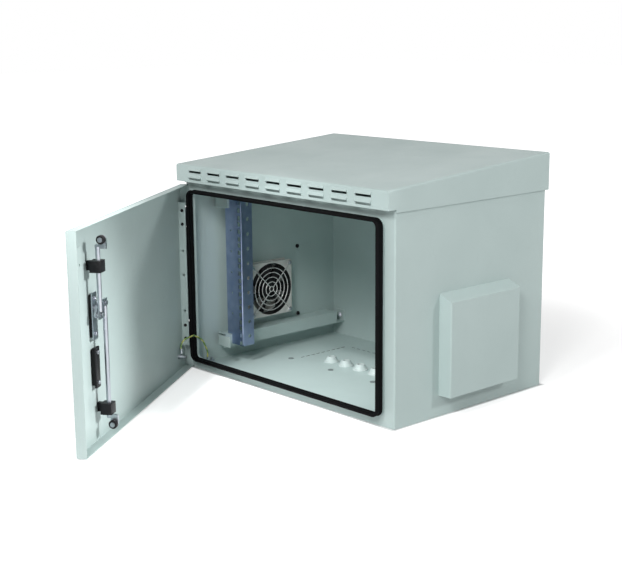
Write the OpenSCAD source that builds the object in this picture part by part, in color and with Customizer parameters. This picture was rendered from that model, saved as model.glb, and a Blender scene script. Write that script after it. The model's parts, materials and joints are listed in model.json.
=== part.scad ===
// Outdoor wall cabinet for rack equipment: sheet body, sloped rain roof, hinged door with a rod lock.
// Millimetres, +Z up, door on the -Y side, origin in the middle of the floor's underside.
// Door parts are drawn shut and then swung open about the hinge pins by door_place().

/* [Cabinet] */
// Outside width of the body
body_w = 600; // [580:5:640]
// Outside depth of the body
body_d = 415; // [400:5:460]
// Height of the rack rails in rack units
rack_u = 7; // [7:1:10]
// Sheet thickness of body, roof, hoods and door
sheet = 1.5; // [1.2:0.1:1.8]
// Bend radius of the body's upright corners
corner_r = 3; // [2.5:0.5:5]

/* [Front frame] */
// Distance from the cabinet side to the inner face of the lip
frame_side = 27.75; // [27:0.25:32]
// Distance from the floor to the inner face of the lower lip
frame_low = 23; // [22:0.5:28]
// Distance from the top of the body to the inner face of the upper lip
frame_top = 27.5; // [26:0.5:32]
// Inner corner radius of the lip
lip_r = 12; // [8:1:16]
// Rubber thickness on each side of the lip
gasket_t = 2.75; // [2:0.25:3.5]

/* [Door] */
// Angle at which the door stands open
open_deg = 54.3; // [40:0.1:75]
// Gap between the front frame and the edge of the door rim
door_gap = 3; // [3:0.5:4]
// Depth of the door pan
door_t = 19.3; // [19:0.1:21]
// Bend radius of the door pan's edges
door_r = 2.5; // [2:0.5:4]
// Inset of the door from the cabinet sides
door_side = 2; // [1:0.5:3]
// Distance from the base to the lower edge of the door
door_low = 2.5; // [2:0.5:5]
// Distance from the top of the body to the upper edge of the door
door_top_gap = 14.5; // [14:0.5:18]

/* [Roof] */
// Overhang of the roof in front of the body
roof_front = 20.5; // [15:0.5:24]
// Overhang of the roof at each side
roof_side = 2.75; // [1:0.25:6]
// Overhang of the roof at the back
roof_rear = 6; // [2:0.5:7]
// Height of the roof's front edge above the body
roof_up_front = 28.3; // [26:0.1:36]
// Height of the roof's rear edge above the body
roof_up_rear = 61.3; // [45:0.1:70]
// Depth to which the front skirt hangs below the top of the body
skirt_front = 6.7; // [4:0.1:8]
// Depth to which the side skirts hang below the top of the body
skirt_side = 12; // [9:0.5:13]
// Bend radius of the roof's edges
roof_r = 4; // [3:0.5:6]
// Number of louvre columns
louvres = 9; // [5:1:9]
// Distance from the cabinet side to the middle of the first louvre
louvre_edge = 58.8; // [50:0.1:70]
// Gap between two louvres in a row
louvre_gap = 19.3; // [15:0.1:30]

/* [Hoods and fan] */
// Width of a side hood
hood_w = 194; // [190:1:210]
// Lower edge of a side hood
hood_low = 40; // [34:1:48]
// Height of a side hood at the wall
hood_h = 191; // [186:1:210]
// Depth of a side hood
hood_d = 29; // [26:1:40]
// Drop of the hood's top over its depth
hood_drop = 12; // [6:1:18]
// Position of the hoods from front to back
hood_y = 5; // [0:1:12]
// Position of the fan from front to back
fan_y = -4; // [-10:1:4]
// Height of the fan's middle above the base
fan_z = 139; // [132:1:146]
// Edge length of the fan frame
fan_w = 119; // [116:1:122]
// Depth of the fan frame
fan_t = 25; // [25:1:38]

/* [Rails and floor] */
// Width that each rack rail takes up beside its depth rail
rack_side = 37; // [36:0.5:45]
// Distance from the front of the body to the rack rails
rail_set = 82.5; // [76:0.5:110]
// Distance from the side sheet to the inner face of the depth rails
depth_rail_w = 36.5; // [30:0.5:40]
// Height of the depth rails
depth_rail_h = 26.5; // [22:0.5:30]
// Spacing of the cable grommets
grommet_pitch = 44; // [40:1:50]
// Bore radius of the cable grommets
grommet_r = 6; // [4:0.5:8]

/* [Lock] */
// Height of the handle spindle above the base
lock_z = 241; // [236:1:246]
// Distance from the free edge of the door to the spindle
lock_set = 88; // [84:1:110]
// Radius at which the cam carries the rods
cam_r = 12; // [11:0.5:13]
// Radius of the lock rods
rod_r = 4; // [3.5:0.25:4.5]
// Radius of the rod rollers
roller_r = 7.75; // [7:0.25:8.5]
// Length of the handle lever from spindle to tip
lever_l = 140; // [120:1:150]

/* [Fits] */
// Radial running clearance of pins and shafts
run_c = 0.05; // [0.03:0.01:0.1]
// Clearance of a plain hole round a screw or neck
hole_c = 0.25; // [0.2:0.05:0.4]

/* [Hidden] */
$fn = 48;
paint = [0.83, 0.85, 0.83];
zinc = [0.62, 0.65, 0.70];
black = [0.08, 0.08, 0.09];
rubber = [0.05, 0.05, 0.05];
silver = [0.72, 0.72, 0.70];
pale = [0.86, 0.87, 0.86];
felt = [0.80, 0.80, 0.76];
u_mm = 44.45;
rail_low = 40;
body_h = rail_low + rack_u * u_mm + 50.85;
hw = body_w / 2;
yf = -body_d / 2;
yr = body_d / 2;
wall_top = body_h - sheet;
in_x = hw - sheet;

// door planes when shut
door_in = yf - (door_gap + door_t - sheet);
door_out = door_in - sheet;
door_x = hw - door_side;
door_top = body_h - door_top_gap;
rim_y = yf - door_gap;
pivot_in = 6;
pivot = [-door_x + pivot_in, yf - door_gap - 10, 0];
knuckle_r = 5;
pin_r = 3;
hinge_half = 20;
hinge_z = [80, door_top - 66.5];
strip_x = pivot[0] + 10.5;
strip_low = 50;
strip_top = door_top - 36;

// lip and gasket
lip_x = hw - frame_side;
lip_z0 = frame_low;
lip_z1 = body_h - frame_top;
lip_zc = (lip_z0 + lip_z1) / 2;
lip_w = 2 * lip_x;
lip_h = lip_z1 - lip_z0;
gasket_y = door_in + 0.5;
lip_y = gasket_y + 3.3;

// roof slope
roof_y0 = yf - roof_front;
roof_y1 = yr + roof_rear;
roof_zf = body_h + roof_up_front;
roof_a = atan((roof_up_rear - roof_up_front) / (roof_y1 - roof_y0));
roof_low = body_h - skirt_side;
roof_bolt_x = hw - 60;
roof_bolt_y = yr - 57.5;
roof_bolt_r = 3;
roof_boss_r = 8;
roof_bolt_in = 14;
louvre_z = [body_h + 3, body_h + 17.5];
louvre_slot = 4.8;
louvre_pitch = (body_w - 2 * louvre_edge) / (louvres - 1);
louvre_len = louvre_pitch - louvre_gap;

// depth and rack rails
rail_x = in_x - depth_rail_w;
depth_low_z = rail_low - 6.5;
depth_top_z = rail_low + rack_u * u_mm - 19.15;
rail_y = yf + rail_set;
rail_h = rack_u * u_mm;
rack_clear = 2 * (rail_x - rack_side);
rail_in = rack_clear / 2;
rail_lap = 14;
rail_out = rail_x + rail_lap;
rail_leg = 30;
rail_front = 60.5;
rail_back = 25.5;
rail_notch = 12;
rail_foot_z = 13.5;
foot_d = 25;
foot_h = 18;
rack_hole = 9.5;
rack_hole_in = 7.55;
leg_hole_r = 4;
leg_hole_y = 18;
small_hole_r = 2.5;
rail_screw_y = rail_y + foot_d / 2 + 0.5;
rail_screw_z = [rail_low + foot_h / 2, rail_low + rail_h - foot_h / 2];
rail_screw_r = 3;

// hoods, with their screws above the lower depth rails
hood_y0 = hood_y - hood_w / 2;
hood_y1 = hood_y + hood_w / 2;
hood_z1 = hood_low + hood_h;
hood_a = atan(hood_drop / hood_d);
hood_fix_y = 8;
hood_fix_z0 = depth_low_z + depth_rail_h + 5;
hood_fix_z1 = hood_z1 - 12;
hood_tab = [15, 20];
hood_pts = [[hood_y0 + hood_fix_y, hood_fix_z0], [hood_y1 - hood_fix_y, hood_fix_z0],
            [hood_y0 + hood_fix_y, hood_fix_z1], [hood_y1 - hood_fix_y, hood_fix_z1]];
hood_screw_r = 2.5;
hood_head_r = 4.2;

// filters inside the hoods
mat_side = 37;
mat_end = 35.5;
mat_w = hood_w - 2 * mat_side;
mat_h = hood_h - 2 * mat_end;
mat_t = 10;
filter_y = hood_y - 9;
filter_z = hood_low + hood_h / 2 + 3.5;
holder_rim = 12;
holder_lap = 4;
holder_w = mat_w + 2 * holder_rim;
holder_h = mat_h + 2 * holder_rim;
ear_h = 12;
ear_t = 3;
ear_y = holder_w / 2 + ear_h / 2;
ear_z = holder_h / 2 - 32;
ear_screw_r = 2;
vent_pitch = 15;
vent_h = 8;
vent_rows = floor((mat_h / 2 - 11) / vent_pitch);

// fan
fan_bolt = fan_w / 2 - 7;
fan_screw_r = 2;
fan_wall = 1.5;
fan_flange = 4;
fan_bore = fan_w / 2 - 2.5;
fan_x = -in_x + fan_t;
hub_r = 24;
guard_wire_r = 1;
guard_rings = 5;
guard_first = 5.6;
guard_step = (fan_bore - 10 - guard_first) / (guard_rings - 1);

// floor
grommet_y = 23;
grommet_x = [-2.5, -1.5, -0.5, 0.5, 1.5, 2.5];
neck_r = 14;
slot_x = 180;
slot_y = 132;
plug_pts = [[-188, -24], [-62, -25], [62, -25], [188, -24]];
plug_r = 4;
earth_x = -in_x + 32.5;
earth_y = yf + 29.5;
stud_r = 3;

// wall fixing
wall_x = rail_x + 14;
wall_z = [depth_low_z + rail_foot_z, depth_top_z + rail_foot_z];
wall_r = 5.5;
spacer_t = 8;

// lock, heights are measured inwards from the door sheet
lock_x = door_x - lock_set;
roller_h = door_in * -1 + yf + sheet + 1 + roller_r;
rod_h = roller_h - 9;
travel = 2 * cam_r * sin(45);
cam_pin_r = 2.5;
rod_off = cam_r * (1 + cos(45)) / 2;
up_x = lock_x + rod_off;
low_x = lock_x - rod_off;
up_roller_z = lip_z1 - gasket_t - 2 - roller_r;
low_roller_z = lip_z0 + gasket_t + 2 + roller_r;
up_guide_z = up_roller_z - 56;
low_guide_z = low_roller_z + 17;
guide_h = 20;
spindle_r = 5;
square_w = 7;
lever_o = 18;
lever_pin_r = 2.5;
lever_h = 24;
lever_in = 22;
lever_neck_h = 13.4;
lever_neck_r = 6.5;
base_w = 36;
base_h = 186;
base_t = 6;
base_drop = 57;
boss_w = 16;
boss_r = 5;
boss_in = 6;
boss_up_h = 75;
boss_up_drop = 13.5;
boss_low_h = 65;
boss_low_drop = 103.5;
clamp_lap = 3.5;
clamp_r = 3;
clamp_up_t = 2;
clamp_low_t = 3;
clamp_screw_r = 1.9;
plug_x = lock_x - lever_l + 20;

// earth wire: points on the door first, then in the cabinet
door_stud = [-door_x + 48, 33];
wire_r = 1.7;
barrel_r = wire_r + 1.2;
wire_sides = 10;
lug_h = 7;

// box between two corners
module bx(x0, x1, y0, y1, z0, z1) {
  translate([x0, y0, z0]) cube([x1 - x0, y1 - y0, z1 - z0]);
}

// round bars along the three axes
module xbar(x0, x1, y, z, r) {
  translate([x0, y, z]) rotate([0, 90, 0]) cylinder(r = r, h = x1 - x0);
}

module ybar(x, y0, y1, z, r) {
  translate([x, y0, z]) rotate([-90, 0, 0]) cylinder(r = r, h = y1 - y0);
}

module zbar(x, y, z0, z1, r) {
  translate([x, y, z0]) cylinder(r = r, h = z1 - z0);
}

// hexagon with the given width across flats
module hex(af, h) {
  cylinder(r = af / sqrt(3), h = h, $fn = 6);
}

// rectangle with round corners, centred
module rrect(w, h, r) {
  square([w - 2 * r, h], center = true);
  square([w, h - 2 * r], center = true);
  for (sx = [-1, 1]) {
    for (sy = [-1, 1]) {
      translate([sx * (w / 2 - r), sy * (h / 2 - r)]) circle(r = r);
    }
  }
}

// rounded plate standing in the XZ plane between two depths
module yplate(w, h, r, x, z, y0, y1) {
  translate([x, y1, z]) rotate([90, 0, 0]) linear_extrude(y1 - y0) rrect(w, h, r);
}

// rounded plate standing in the YZ plane between two x positions
module xplate(w, h, r, y, z, x0, x1) {
  translate([x0, y, z]) rotate([90, 0, 90]) linear_extrude(x1 - x0) rrect(w, h, r);
}

// swings a part that is drawn with the door shut to the open door
module door_place() {
  translate(pivot) rotate([0, 0, -open_deg]) translate(-pivot) children();
}

function door_pt(p) = let (x = p[0] - pivot[0], y = p[1] - pivot[1])
  [pivot[0] + x * cos(open_deg) + y * sin(open_deg),
   pivot[1] - x * sin(open_deg) + y * cos(open_deg), p[2]];

function arc(c, r, a0, a1, n = 6) =
  [for (i = [0:n]) let (a = a0 + (a1 - a0) * i / n) [c[0] + r * cos(a), c[1] + r * sin(a)]];

// upright wall tube of the body, cut into sheets below
module wall_tube() {
  linear_extrude(wall_top) difference() {
    rrect(body_w, body_d, corner_r);
    rrect(body_w - 2 * sheet, body_d - 2 * sheet, corner_r - sheet);
  }
}

module side_sheet(s) {
  intersection() {
    wall_tube();
    if (s < 0) {
      bx(-hw - 1, -hw + corner_r, yf - 1, yr + 1, -1, body_h);
    } else {
      bx(hw - corner_r, hw + 1, yf - 1, yr + 1, -1, body_h);
    }
  }
}

// screw holes that each side sheet has for its hood and filter holder
module side_holes(s) {
  for (p = hood_pts) {
    xbar(s * hw - 5, s * hw + 5, p[0], p[1], hood_screw_r + hole_c);
  }
  for (sy = [-1, 1]) {
    for (sz = [-1, 1]) {
      xbar(s * hw - 5, s * hw + 5, filter_y + sy * ear_y, filter_z + sz * ear_z, ear_screw_r + hole_c);
    }
  }
}

module left_side_panel() {
  color(paint) difference() {
    side_sheet(-1);
    side_holes(-1);
    xbar(-hw - 5, -hw + 5, fan_y, fan_z, fan_bore - 1);
    for (sy = [-1, 1]) {
      for (sz = [-1, 1]) {
        xbar(-hw - 5, -hw + 5, fan_y + sy * fan_bolt, fan_z + sz * fan_bolt, fan_screw_r + hole_c);
      }
    }
  }
}

module right_side_panel() {
  color(paint) difference() {
    side_sheet(1);
    side_holes(1);
    for (k = [-vent_rows:vent_rows]) {
      translate([0, filter_y, filter_z + k * vent_pitch])
        bx(hw - 5, hw + 5, -mat_w / 2 + 10, mat_w / 2 - 10, -vent_h / 2, vent_h / 2);
    }
  }
}

module rear_panel() {
  color(paint) difference() {
    bx(-hw + corner_r, hw - corner_r, yr - sheet, yr, 0, wall_top);
    for (x = [-wall_x, wall_x]) {
      for (z = wall_z) {
        ybar(x, yr - 5, yr + 5, z, wall_r);
      }
    }
  }
}

module floor_panel() {
  color(paint) difference() {
    linear_extrude(sheet) rrect(body_w - 2 * sheet, body_d - 2 * sheet, corner_r);
    for (k = grommet_x) {
      zbar(k * grommet_pitch, grommet_y, -1, 5, neck_r);
    }
    for (s = [-1, 1]) {
      for (i = [0:8]) {
        bx(s * slot_x - 1.3, s * slot_x + 1.3, i * 15 - 2, i * 15 + 8, -1, 5);
      }
    }
    for (i = [-10:10]) {
      bx(i * 16 - 5, i * 16 + 5, slot_y + 3, slot_y + 5.6, -1, 5);
    }
    for (p = plug_pts) {
      zbar(p[0], p[1], -1, 5, plug_r + hole_c);
    }
  }
}

module top_panel() {
  color(paint) difference() {
    translate([0, 0, wall_top]) linear_extrude(sheet) rrect(body_w, body_d, corner_r);
    for (x = [-roof_bolt_x, roof_bolt_x]) {
      for (y = [-roof_bolt_y, roof_bolt_y]) {
        zbar(x, y, wall_top - 1, body_h + 1, roof_bolt_r + hole_c);
      }
    }
  }
}

module front_frame() {
  color(paint) difference() {
    union() {
      bx(-hw + corner_r, hw - corner_r, yf, yf + sheet, 0, wall_top);
      yplate(lip_w + 2 * sheet, lip_h + 2 * sheet, lip_r + sheet, 0, lip_zc, lip_y, yf + sheet);
    }
    yplate(lip_w, lip_h, lip_r, 0, lip_zc, lip_y - 1, yf + sheet + 1);
  }
}

// rubber channel pushed on the lip
module door_gasket() {
  g = gasket_t;
  color(rubber) difference() {
    yplate(lip_w + 2 * sheet + 2 * g, lip_h + 2 * sheet + 2 * g, lip_r + sheet + g,
           0, lip_zc, gasket_y, yf - 6);
    yplate(lip_w - 2 * g, lip_h - 2 * g, lip_r - g, 0, lip_zc, gasket_y - 1, yf);
    difference() {
      yplate(lip_w + 2 * sheet + 0.2, lip_h + 2 * sheet + 0.2, lip_r + sheet + 0.1,
             0, lip_zc, lip_y, yf);
      yplate(lip_w - 0.2, lip_h - 0.2, lip_r - 0.1, 0, lip_zc, lip_y - 1, yf + 1);
    }
    yplate(lip_w, lip_h, lip_r, 0, lip_zc, yf - 10, yf);
  }
}

// side view of the roof, shrunk by o on every side
module roof_side_view(o, low) {
  y0 = roof_y0 + o;
  y1 = roof_y1 - o;
  r = roof_r - o;
  t = tan(roof_a);
  drop = (o + r) / cos(roof_a);
  cf = [y0 + r, roof_zf + (o + r) * t - drop];
  cr = [y1 - r, roof_zf + (y1 - r - roof_y0) * t - drop];
  polygon(concat([[y1, low], [y0, low]], arc(cf, r, 180, 90 + roof_a), arc(cr, r, 90 + roof_a, 0)));
}

// section across the roof's slope, shrunk by o
module roof_section(o) {
  w = hw + roof_side - o;
  r = roof_r - o;
  translate([-w, -150]) square([2 * w, 150 - o - r]);
  translate([-w + r, -150]) square([2 * w - 2 * r, 150 - o]);
  for (s = [-1, 1]) {
    translate([s * (w - r), -o - r]) circle(r = r);
  }
}

module roof_solid(o, low) {
  run = roof_y1 - roof_y0 + 80;
  intersection() {
    translate([-hw - 50, 0, 0]) rotate([90, 0, 90]) linear_extrude(body_w + 100)
      roof_side_view(o, low);
    translate([0, roof_y0, roof_zf]) rotate([roof_a, 0, 0]) translate([0, run, 0])
      rotate([90, 0, 0]) linear_extrude(run + 40) roof_section(o);
  }
}

// louvre: pressed-out hood over a slot
module louvre_out() {
  rotate([90, 0, 90]) linear_extrude(louvre_len, center = true)
    polygon([[0.5, 0], [-2.6, 0], [-2.6, 0.9], [0, 6], [0.5, 6]]);
}

module louvre_cut() {
  rotate([90, 0, 90]) linear_extrude(louvre_len - 2, center = true)
    polygon([[3, -louvre_slot], [-0.5, -louvre_slot], [-0.5, -0.5], [-1.7, -0.5],
             [-1.7, 0.6], [0.1, 4.2], [3, 4.2]]);
}

module louvre_grid() {
  for (i = [0:louvres - 1]) {
    for (z = louvre_z) {
      translate([(i - (louvres - 1) / 2) * louvre_pitch, roof_y0, z]) children();
    }
  }
}

module roof_canopy() {
  color(paint) difference() {
    union() {
      difference() {
        roof_solid(0, roof_low);
        roof_solid(sheet, roof_low - 5);
      }
      intersection() {
        roof_solid(0, roof_low);
        for (x = [-roof_bolt_x, roof_bolt_x]) {
          for (y = [-roof_bolt_y, roof_bolt_y]) {
            zbar(x, y, body_h, body_h + 80, roof_boss_r);
          }
        }
      }
      louvre_grid() louvre_out();
    }
    bx(-hw - 30, hw + 30, roof_y0 - 10, yf, roof_low - 5, body_h - skirt_front);
    louvre_grid() louvre_cut();
    for (x = [-roof_bolt_x, roof_bolt_x]) {
      for (y = [-roof_bolt_y, roof_bolt_y]) {
        zbar(x, y, body_h - 1, body_h + roof_bolt_in + 2, roof_bolt_r + 0.1);
      }
    }
  }
}

module roof_bolts() {
  color(zinc) for (x = [-roof_bolt_x, roof_bolt_x]) {
    for (y = [-roof_bolt_y, roof_bolt_y]) {
      zbar(x, y, wall_top - 2, body_h + roof_bolt_in, roof_bolt_r);
      zbar(x, y, wall_top - 1.5, wall_top, roof_boss_r);
      translate([x, y, wall_top - 5.5]) hex(10, 4);
    }
  }
}

// side view of a hood on the right wall, shrunk by o
module hood_view(o, low) {
  x1 = hw + hood_d - o;
  r = 3 - o;
  t = tan(hood_a);
  drop = (o + r) / cos(hood_a);
  c = [x1 - r, hood_z1 - (x1 - r - hw) * t - drop];
  x0 = hw - (o > 0 ? 3 : 0);
  z1 = hood_z1 - (x0 - hw) * t - o / cos(hood_a);
  polygon(concat([[x0, low], [x1, low]], arc(c, r, 0, 90 - hood_a), [[x0, z1]]));
}

module hood_solid(o, low) {
  w = hood_w - 2 * o;
  r = 3 - o;
  intersection() {
    translate([0, hood_y + hood_w, 0]) rotate([90, 0, 0]) linear_extrude(2 * hood_w) hood_view(o, low);
    translate([hw, hood_y, 0]) linear_extrude(400) union() {
      translate([-20, -w / 2]) square([20 + hood_d - o - r, w]);
      translate([-20, -w / 2 + r]) square([20 + hood_d - o, w - 2 * r]);
      for (s = [-1, 1]) {
        translate([hood_d - o - r, s * (w / 2 - r)]) circle(r = r);
      }
    }
  }
}

module hood_shape() {
  difference() {
    union() {
      difference() {
        hood_solid(0, hood_low);
        hood_solid(sheet, hood_low - 3);
      }
      intersection() {
        hood_solid(0, hood_low);
        for (p = hood_pts) {
          bx(hw, hw + sheet, p[0] - hood_tab[0] / 2, p[0] + hood_tab[0] / 2,
             p[1] - hood_tab[1] / 2, p[1] + hood_tab[1] / 2);
        }
      }
    }
    for (p = hood_pts) {
      xbar(hw - 2, hw + 5, p[0], p[1], hood_screw_r + hole_c);
    }
  }
}

module right_hood() {
  color(paint) hood_shape();
}

module left_hood() {
  color(paint) mirror([1, 0, 0]) hood_shape();
}

// screw with its head inside and its nut in the hood
module hood_screw(p) {
  xbar(in_x - 2.4, hw + sheet + 5, p[0], p[1], hood_screw_r);
  xbar(in_x - 2.4, in_x, p[0], p[1], hood_head_r);
  translate([hw + sheet, p[0], p[1]]) rotate([0, 90, 0]) hex(8, 4);
}

module hood_screws() {
  color(black) for (p = hood_pts) {
    hood_screw(p);
    mirror([1, 0, 0]) hood_screw(p);
  }
}

module mat_shape() {
  translate([0, filter_y, filter_z])
    bx(hw, hw + mat_t, -mat_w / 2, mat_w / 2, -mat_h / 2, mat_h / 2);
}

module right_filter_mat() {
  color(felt) mat_shape();
}

module left_filter_mat() {
  color(felt) mirror([1, 0, 0]) mat_shape();
}

// frame that holds the mat to the outside of the wall
module holder_shape() {
  w = mat_w / 2 + 0.3;
  h = mat_h / 2 + 0.3;
  lap = holder_lap;
  translate([0, filter_y, filter_z]) difference() {
    union() {
      xplate(holder_w, holder_h, 4, 0, 0, hw, hw + mat_t + 2);
      for (sz = [-1, 1]) {
        xplate(2 * ear_y + ear_h, ear_h, 5, 0, sz * ear_z, hw, hw + ear_t);
      }
    }
    bx(hw - 1, hw + mat_t, -w, w, -h, h);
    xplate(mat_w - 2 * lap, mat_h - 2 * lap, 4, 0, 0, hw - 1, hw + mat_t + 5);
    for (sy = [-1, 1]) {
      for (sz = [-1, 1]) {
        xbar(hw - 1, hw + 5, sy * ear_y, sz * ear_z, ear_screw_r + hole_c);
      }
    }
  }
}

module right_filter_holder() {
  color(black) holder_shape();
}

module left_filter_holder() {
  color(black) mirror([1, 0, 0]) holder_shape();
}

module filter_screws() {
  color(zinc) for (sy = [-1, 1]) {
    for (sz = [-1, 1]) {
      for (m = [0, 1]) {
        mirror([m, 0, 0]) translate([0, filter_y + sy * ear_y, filter_z + sz * ear_z]) {
          xbar(in_x, hw + ear_t + 1, 0, 0, ear_screw_r);
          xbar(hw + ear_t, hw + ear_t + 2.2, 0, 0, 1.9 * ear_screw_r);
        }
      }
    }
  }
}

module fan_frame() {
  color(silver) difference() {
    union() {
      difference() {
        xplate(fan_w, fan_w, 5, fan_y, fan_z, -in_x, fan_x);
        difference() {
          xplate(fan_w + 2, fan_w + 2, 5, fan_y, fan_z, -in_x + fan_flange, fan_x - fan_flange);
          xbar(-in_x, fan_x, fan_y, fan_z, fan_bore + fan_wall);
        }
        xbar(-in_x - 1, fan_x + 1, fan_y, fan_z, fan_bore);
      }
      for (sy = [-1, 1]) {
        for (sz = [-1, 1]) {
          xbar(-in_x + 1, fan_x - 1, fan_y + sy * fan_bolt, fan_z + sz * fan_bolt, 4.5);
        }
      }
      xbar(-in_x, -in_x + fan_t - 6.5, fan_y, fan_z, hub_r - 2);
      xbar(-in_x, -in_x + fan_t - 3.5, fan_y, fan_z, 2);
      for (a = [0, 120, 240]) {
        translate([-in_x, fan_y, fan_z]) rotate([a, 0, 0]) bx(0, 2, -3, 3, 15, fan_bore + 1);
      }
    }
    for (sy = [-1, 1]) {
      for (sz = [-1, 1]) {
        xbar(-in_x - 1, fan_x + 1, fan_y + sy * fan_bolt, fan_z + sz * fan_bolt,
             fan_screw_r + hole_c);
      }
    }
  }
}

module fan_impeller() {
  x0 = -in_x + 4.5;
  x1 = fan_x - 3;
  color(black) difference() {
    union() {
      xbar(x0, x1, fan_y, fan_z, hub_r);
      for (i = [0:6]) {
        translate([(x0 + x1) / 2 + 0.2, fan_y, fan_z]) rotate([i * 360 / 7, 0, 0])
          rotate([0, 0, 38]) bx(-11, 11, -0.8, 0.8, hub_r - 0.8, fan_bore - 2.3);
      }
    }
    xbar(x0 - 1, x1 - 2, fan_y, fan_z, hub_r - 1.4);
    xbar(x0 - 1, x1 + 1, fan_y, fan_z, 2 + run_c);
  }
}

module fan_guard() {
  wr = guard_wire_r;
  reach = fan_bolt * sqrt(2);
  color(silver) translate([fan_x, fan_y, fan_z]) difference() {
    union() {
      for (i = [0:guard_rings - 1]) {
        translate([wr, 0, 0]) rotate([0, 90, 0]) rotate_extrude()
          translate([guard_first + i * guard_step, 0]) circle(r = wr);
      }
      for (a = [45, 135, 225, 315]) {
        rotate([a, 0, 0]) {
          bx(0.7 * wr, 2.6 * wr, -wr, wr, guard_first, reach - 4);
          xbar(0, 1.4, 0, reach, 4.6);
        }
      }
    }
    for (a = [45, 135, 225, 315]) {
      rotate([a, 0, 0]) xbar(-1, 4, 0, reach, fan_screw_r + hole_c);
    }
  }
}

module fan_screws() {
  color(zinc) for (sy = [-1, 1]) {
    for (sz = [-1, 1]) {
      translate([0, fan_y + sy * fan_bolt, fan_z + sz * fan_bolt]) {
        xbar(-hw, fan_x + 1.4, 0, 0, fan_screw_r);
        xbar(fan_x + 1.4, fan_x + 4, 0, 0, 3.8);
      }
    }
  }
}

module cable_grommets() {
  color(pale) for (k = grommet_x) {
    translate([k * grommet_pitch, grommet_y, 0]) rotate_extrude()
      polygon([[grommet_r, 0.2], [neck_r - 0.1, 0.2], [neck_r - 0.1, sheet], [16, sheet],
               [16, sheet + 2.5], [13, sheet + 3.5], [10, 13.5], [grommet_r, 13.5]]);
  }
}

module floor_plugs() {
  color(black) for (p = plug_pts) {
    zbar(p[0], p[1], 0.3, sheet + 1.4, plug_r);
    zbar(p[0], p[1], sheet, sheet + 1.4, plug_r + 1.8);
  }
}

// channel open to the wall, with a plate in front and a foot on the rear wall
module depth_rail(z) {
  y0 = yf + rail_front;
  y1 = yr - rail_back;
  z1 = z + depth_rail_h;
  difference() {
    union() {
      bx(-in_x, -rail_x, y0 + rail_notch, yr - corner_r, z, z + sheet);
      bx(-in_x, -rail_x, y0 + rail_notch, y1, z1 - sheet, z1);
      bx(-rail_x - sheet, -rail_x, y0, y1, z, z1);
      bx(-in_x + 17.5, -rail_x + 20, y0, y0 + sheet, z + 4, z1);
      bx(-in_x + 8.5, -rail_x, yr - sheet - 2, yr - sheet, z, z1);
    }
    ybar(-wall_x, yr - 10, yr, z + rail_foot_z, wall_r);
    for (s = rail_screw_z) {
      xbar(-rail_x - 5, -rail_x + 5, rail_screw_y, s, rail_screw_r + hole_c);
    }
  }
}

module left_lower_rail() {
  color(paint) depth_rail(depth_low_z);
}

module left_upper_rail() {
  color(paint) depth_rail(depth_top_z);
}

module right_lower_rail() {
  color(paint) mirror([1, 0, 0]) depth_rail(depth_low_z);
}

module right_upper_rail() {
  color(paint) mirror([1, 0, 0]) depth_rail(depth_top_z);
}

// angle with square rack holes on the left, relieved at both ends for the depth rails
module rack_rail() {
  z1 = rail_low + rail_h;
  difference() {
    union() {
      bx(-rail_out, -rail_in, rail_y, rail_y + sheet, rail_low, z1);
      bx(-rail_in - sheet, -rail_in, rail_y, rail_y + rail_leg, rail_low, z1);
      for (z = [rail_low, z1 - foot_h]) {
        bx(-rail_x, -rail_x + sheet, rail_y, rail_y + foot_d, z, z + foot_h);
      }
    }
    bx(-rail_out - 1, -rail_x, rail_y - 1, rail_y + 5, rail_low - 1, depth_low_z + depth_rail_h + 1);
    bx(-rail_out - 1, -rail_x, rail_y - 1, rail_y + 5, depth_top_z - 1, z1 + 1);
    for (k = [0:rack_u - 1]) {
      for (d = [6.35, 22.225, 38.1]) {
        translate([-rail_in - rack_hole_in, 0, rail_low + k * u_mm + d])
          bx(-rack_hole / 2, rack_hole / 2, rail_y - 1, rail_y + 3, -rack_hole / 2, rack_hole / 2);
      }
    }
    for (k = [1:rack_u - 2]) {
      ybar(-rail_x + 3, rail_y - 1, rail_y + 3, rail_low + k * u_mm + u_mm / 2, small_hole_r);
    }
    for (k = [0:2 * rack_u - 5]) {
      xbar(-rail_in - 3, -rail_in + 1, rail_y + leg_hole_y, rail_low + 20 + k * 31.27, leg_hole_r);
    }
    for (s = rail_screw_z) {
      xbar(-rail_x - 3, -rail_x + 3, rail_screw_y, s, rail_screw_r + hole_c);
    }
  }
}

module left_rack_rail() {
  color(zinc) rack_rail();
}

module right_rack_rail() {
  color(zinc) mirror([1, 0, 0]) rack_rail();
}

module rail_screws() {
  color(zinc) for (m = [0, 1]) {
    mirror([m, 0, 0]) for (s = rail_screw_z) {
      xbar(-rail_x - sheet - 6, -rail_x + sheet + 2, rail_screw_y, s, rail_screw_r);
      xbar(-rail_x + sheet, -rail_x + sheet + 3.5, rail_screw_y, s, 5.5);
      translate([-rail_x - sheet - 5, rail_screw_y, s]) rotate([0, 90, 0]) hex(10, 5);
    }
  }
}

// stud, two nuts and a ring lug whose barrel stands beside the stud
module earth_terminal() {
  zbar(0, 0, 0, 17, stud_r);
  hex(10, 5);
  difference() {
    union() {
      zbar(0, 0, 5, 6.6, 6.5);
      bx(-3.4, 3.4, 4, 11, 5, 6.6);
      translate([0, 11, 5]) cylinder(r = barrel_r, h = 15);
    }
    translate([0, 11, 8]) cylinder(r = wire_r + 0.15, h = 20);
  }
  translate([0, 0, 6.6]) hex(10, 5);
}

module earth_terminal_body() {
  color(zinc) translate([earth_x, earth_y, sheet]) rotate([0, 0, 180]) earth_terminal();
}

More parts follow.
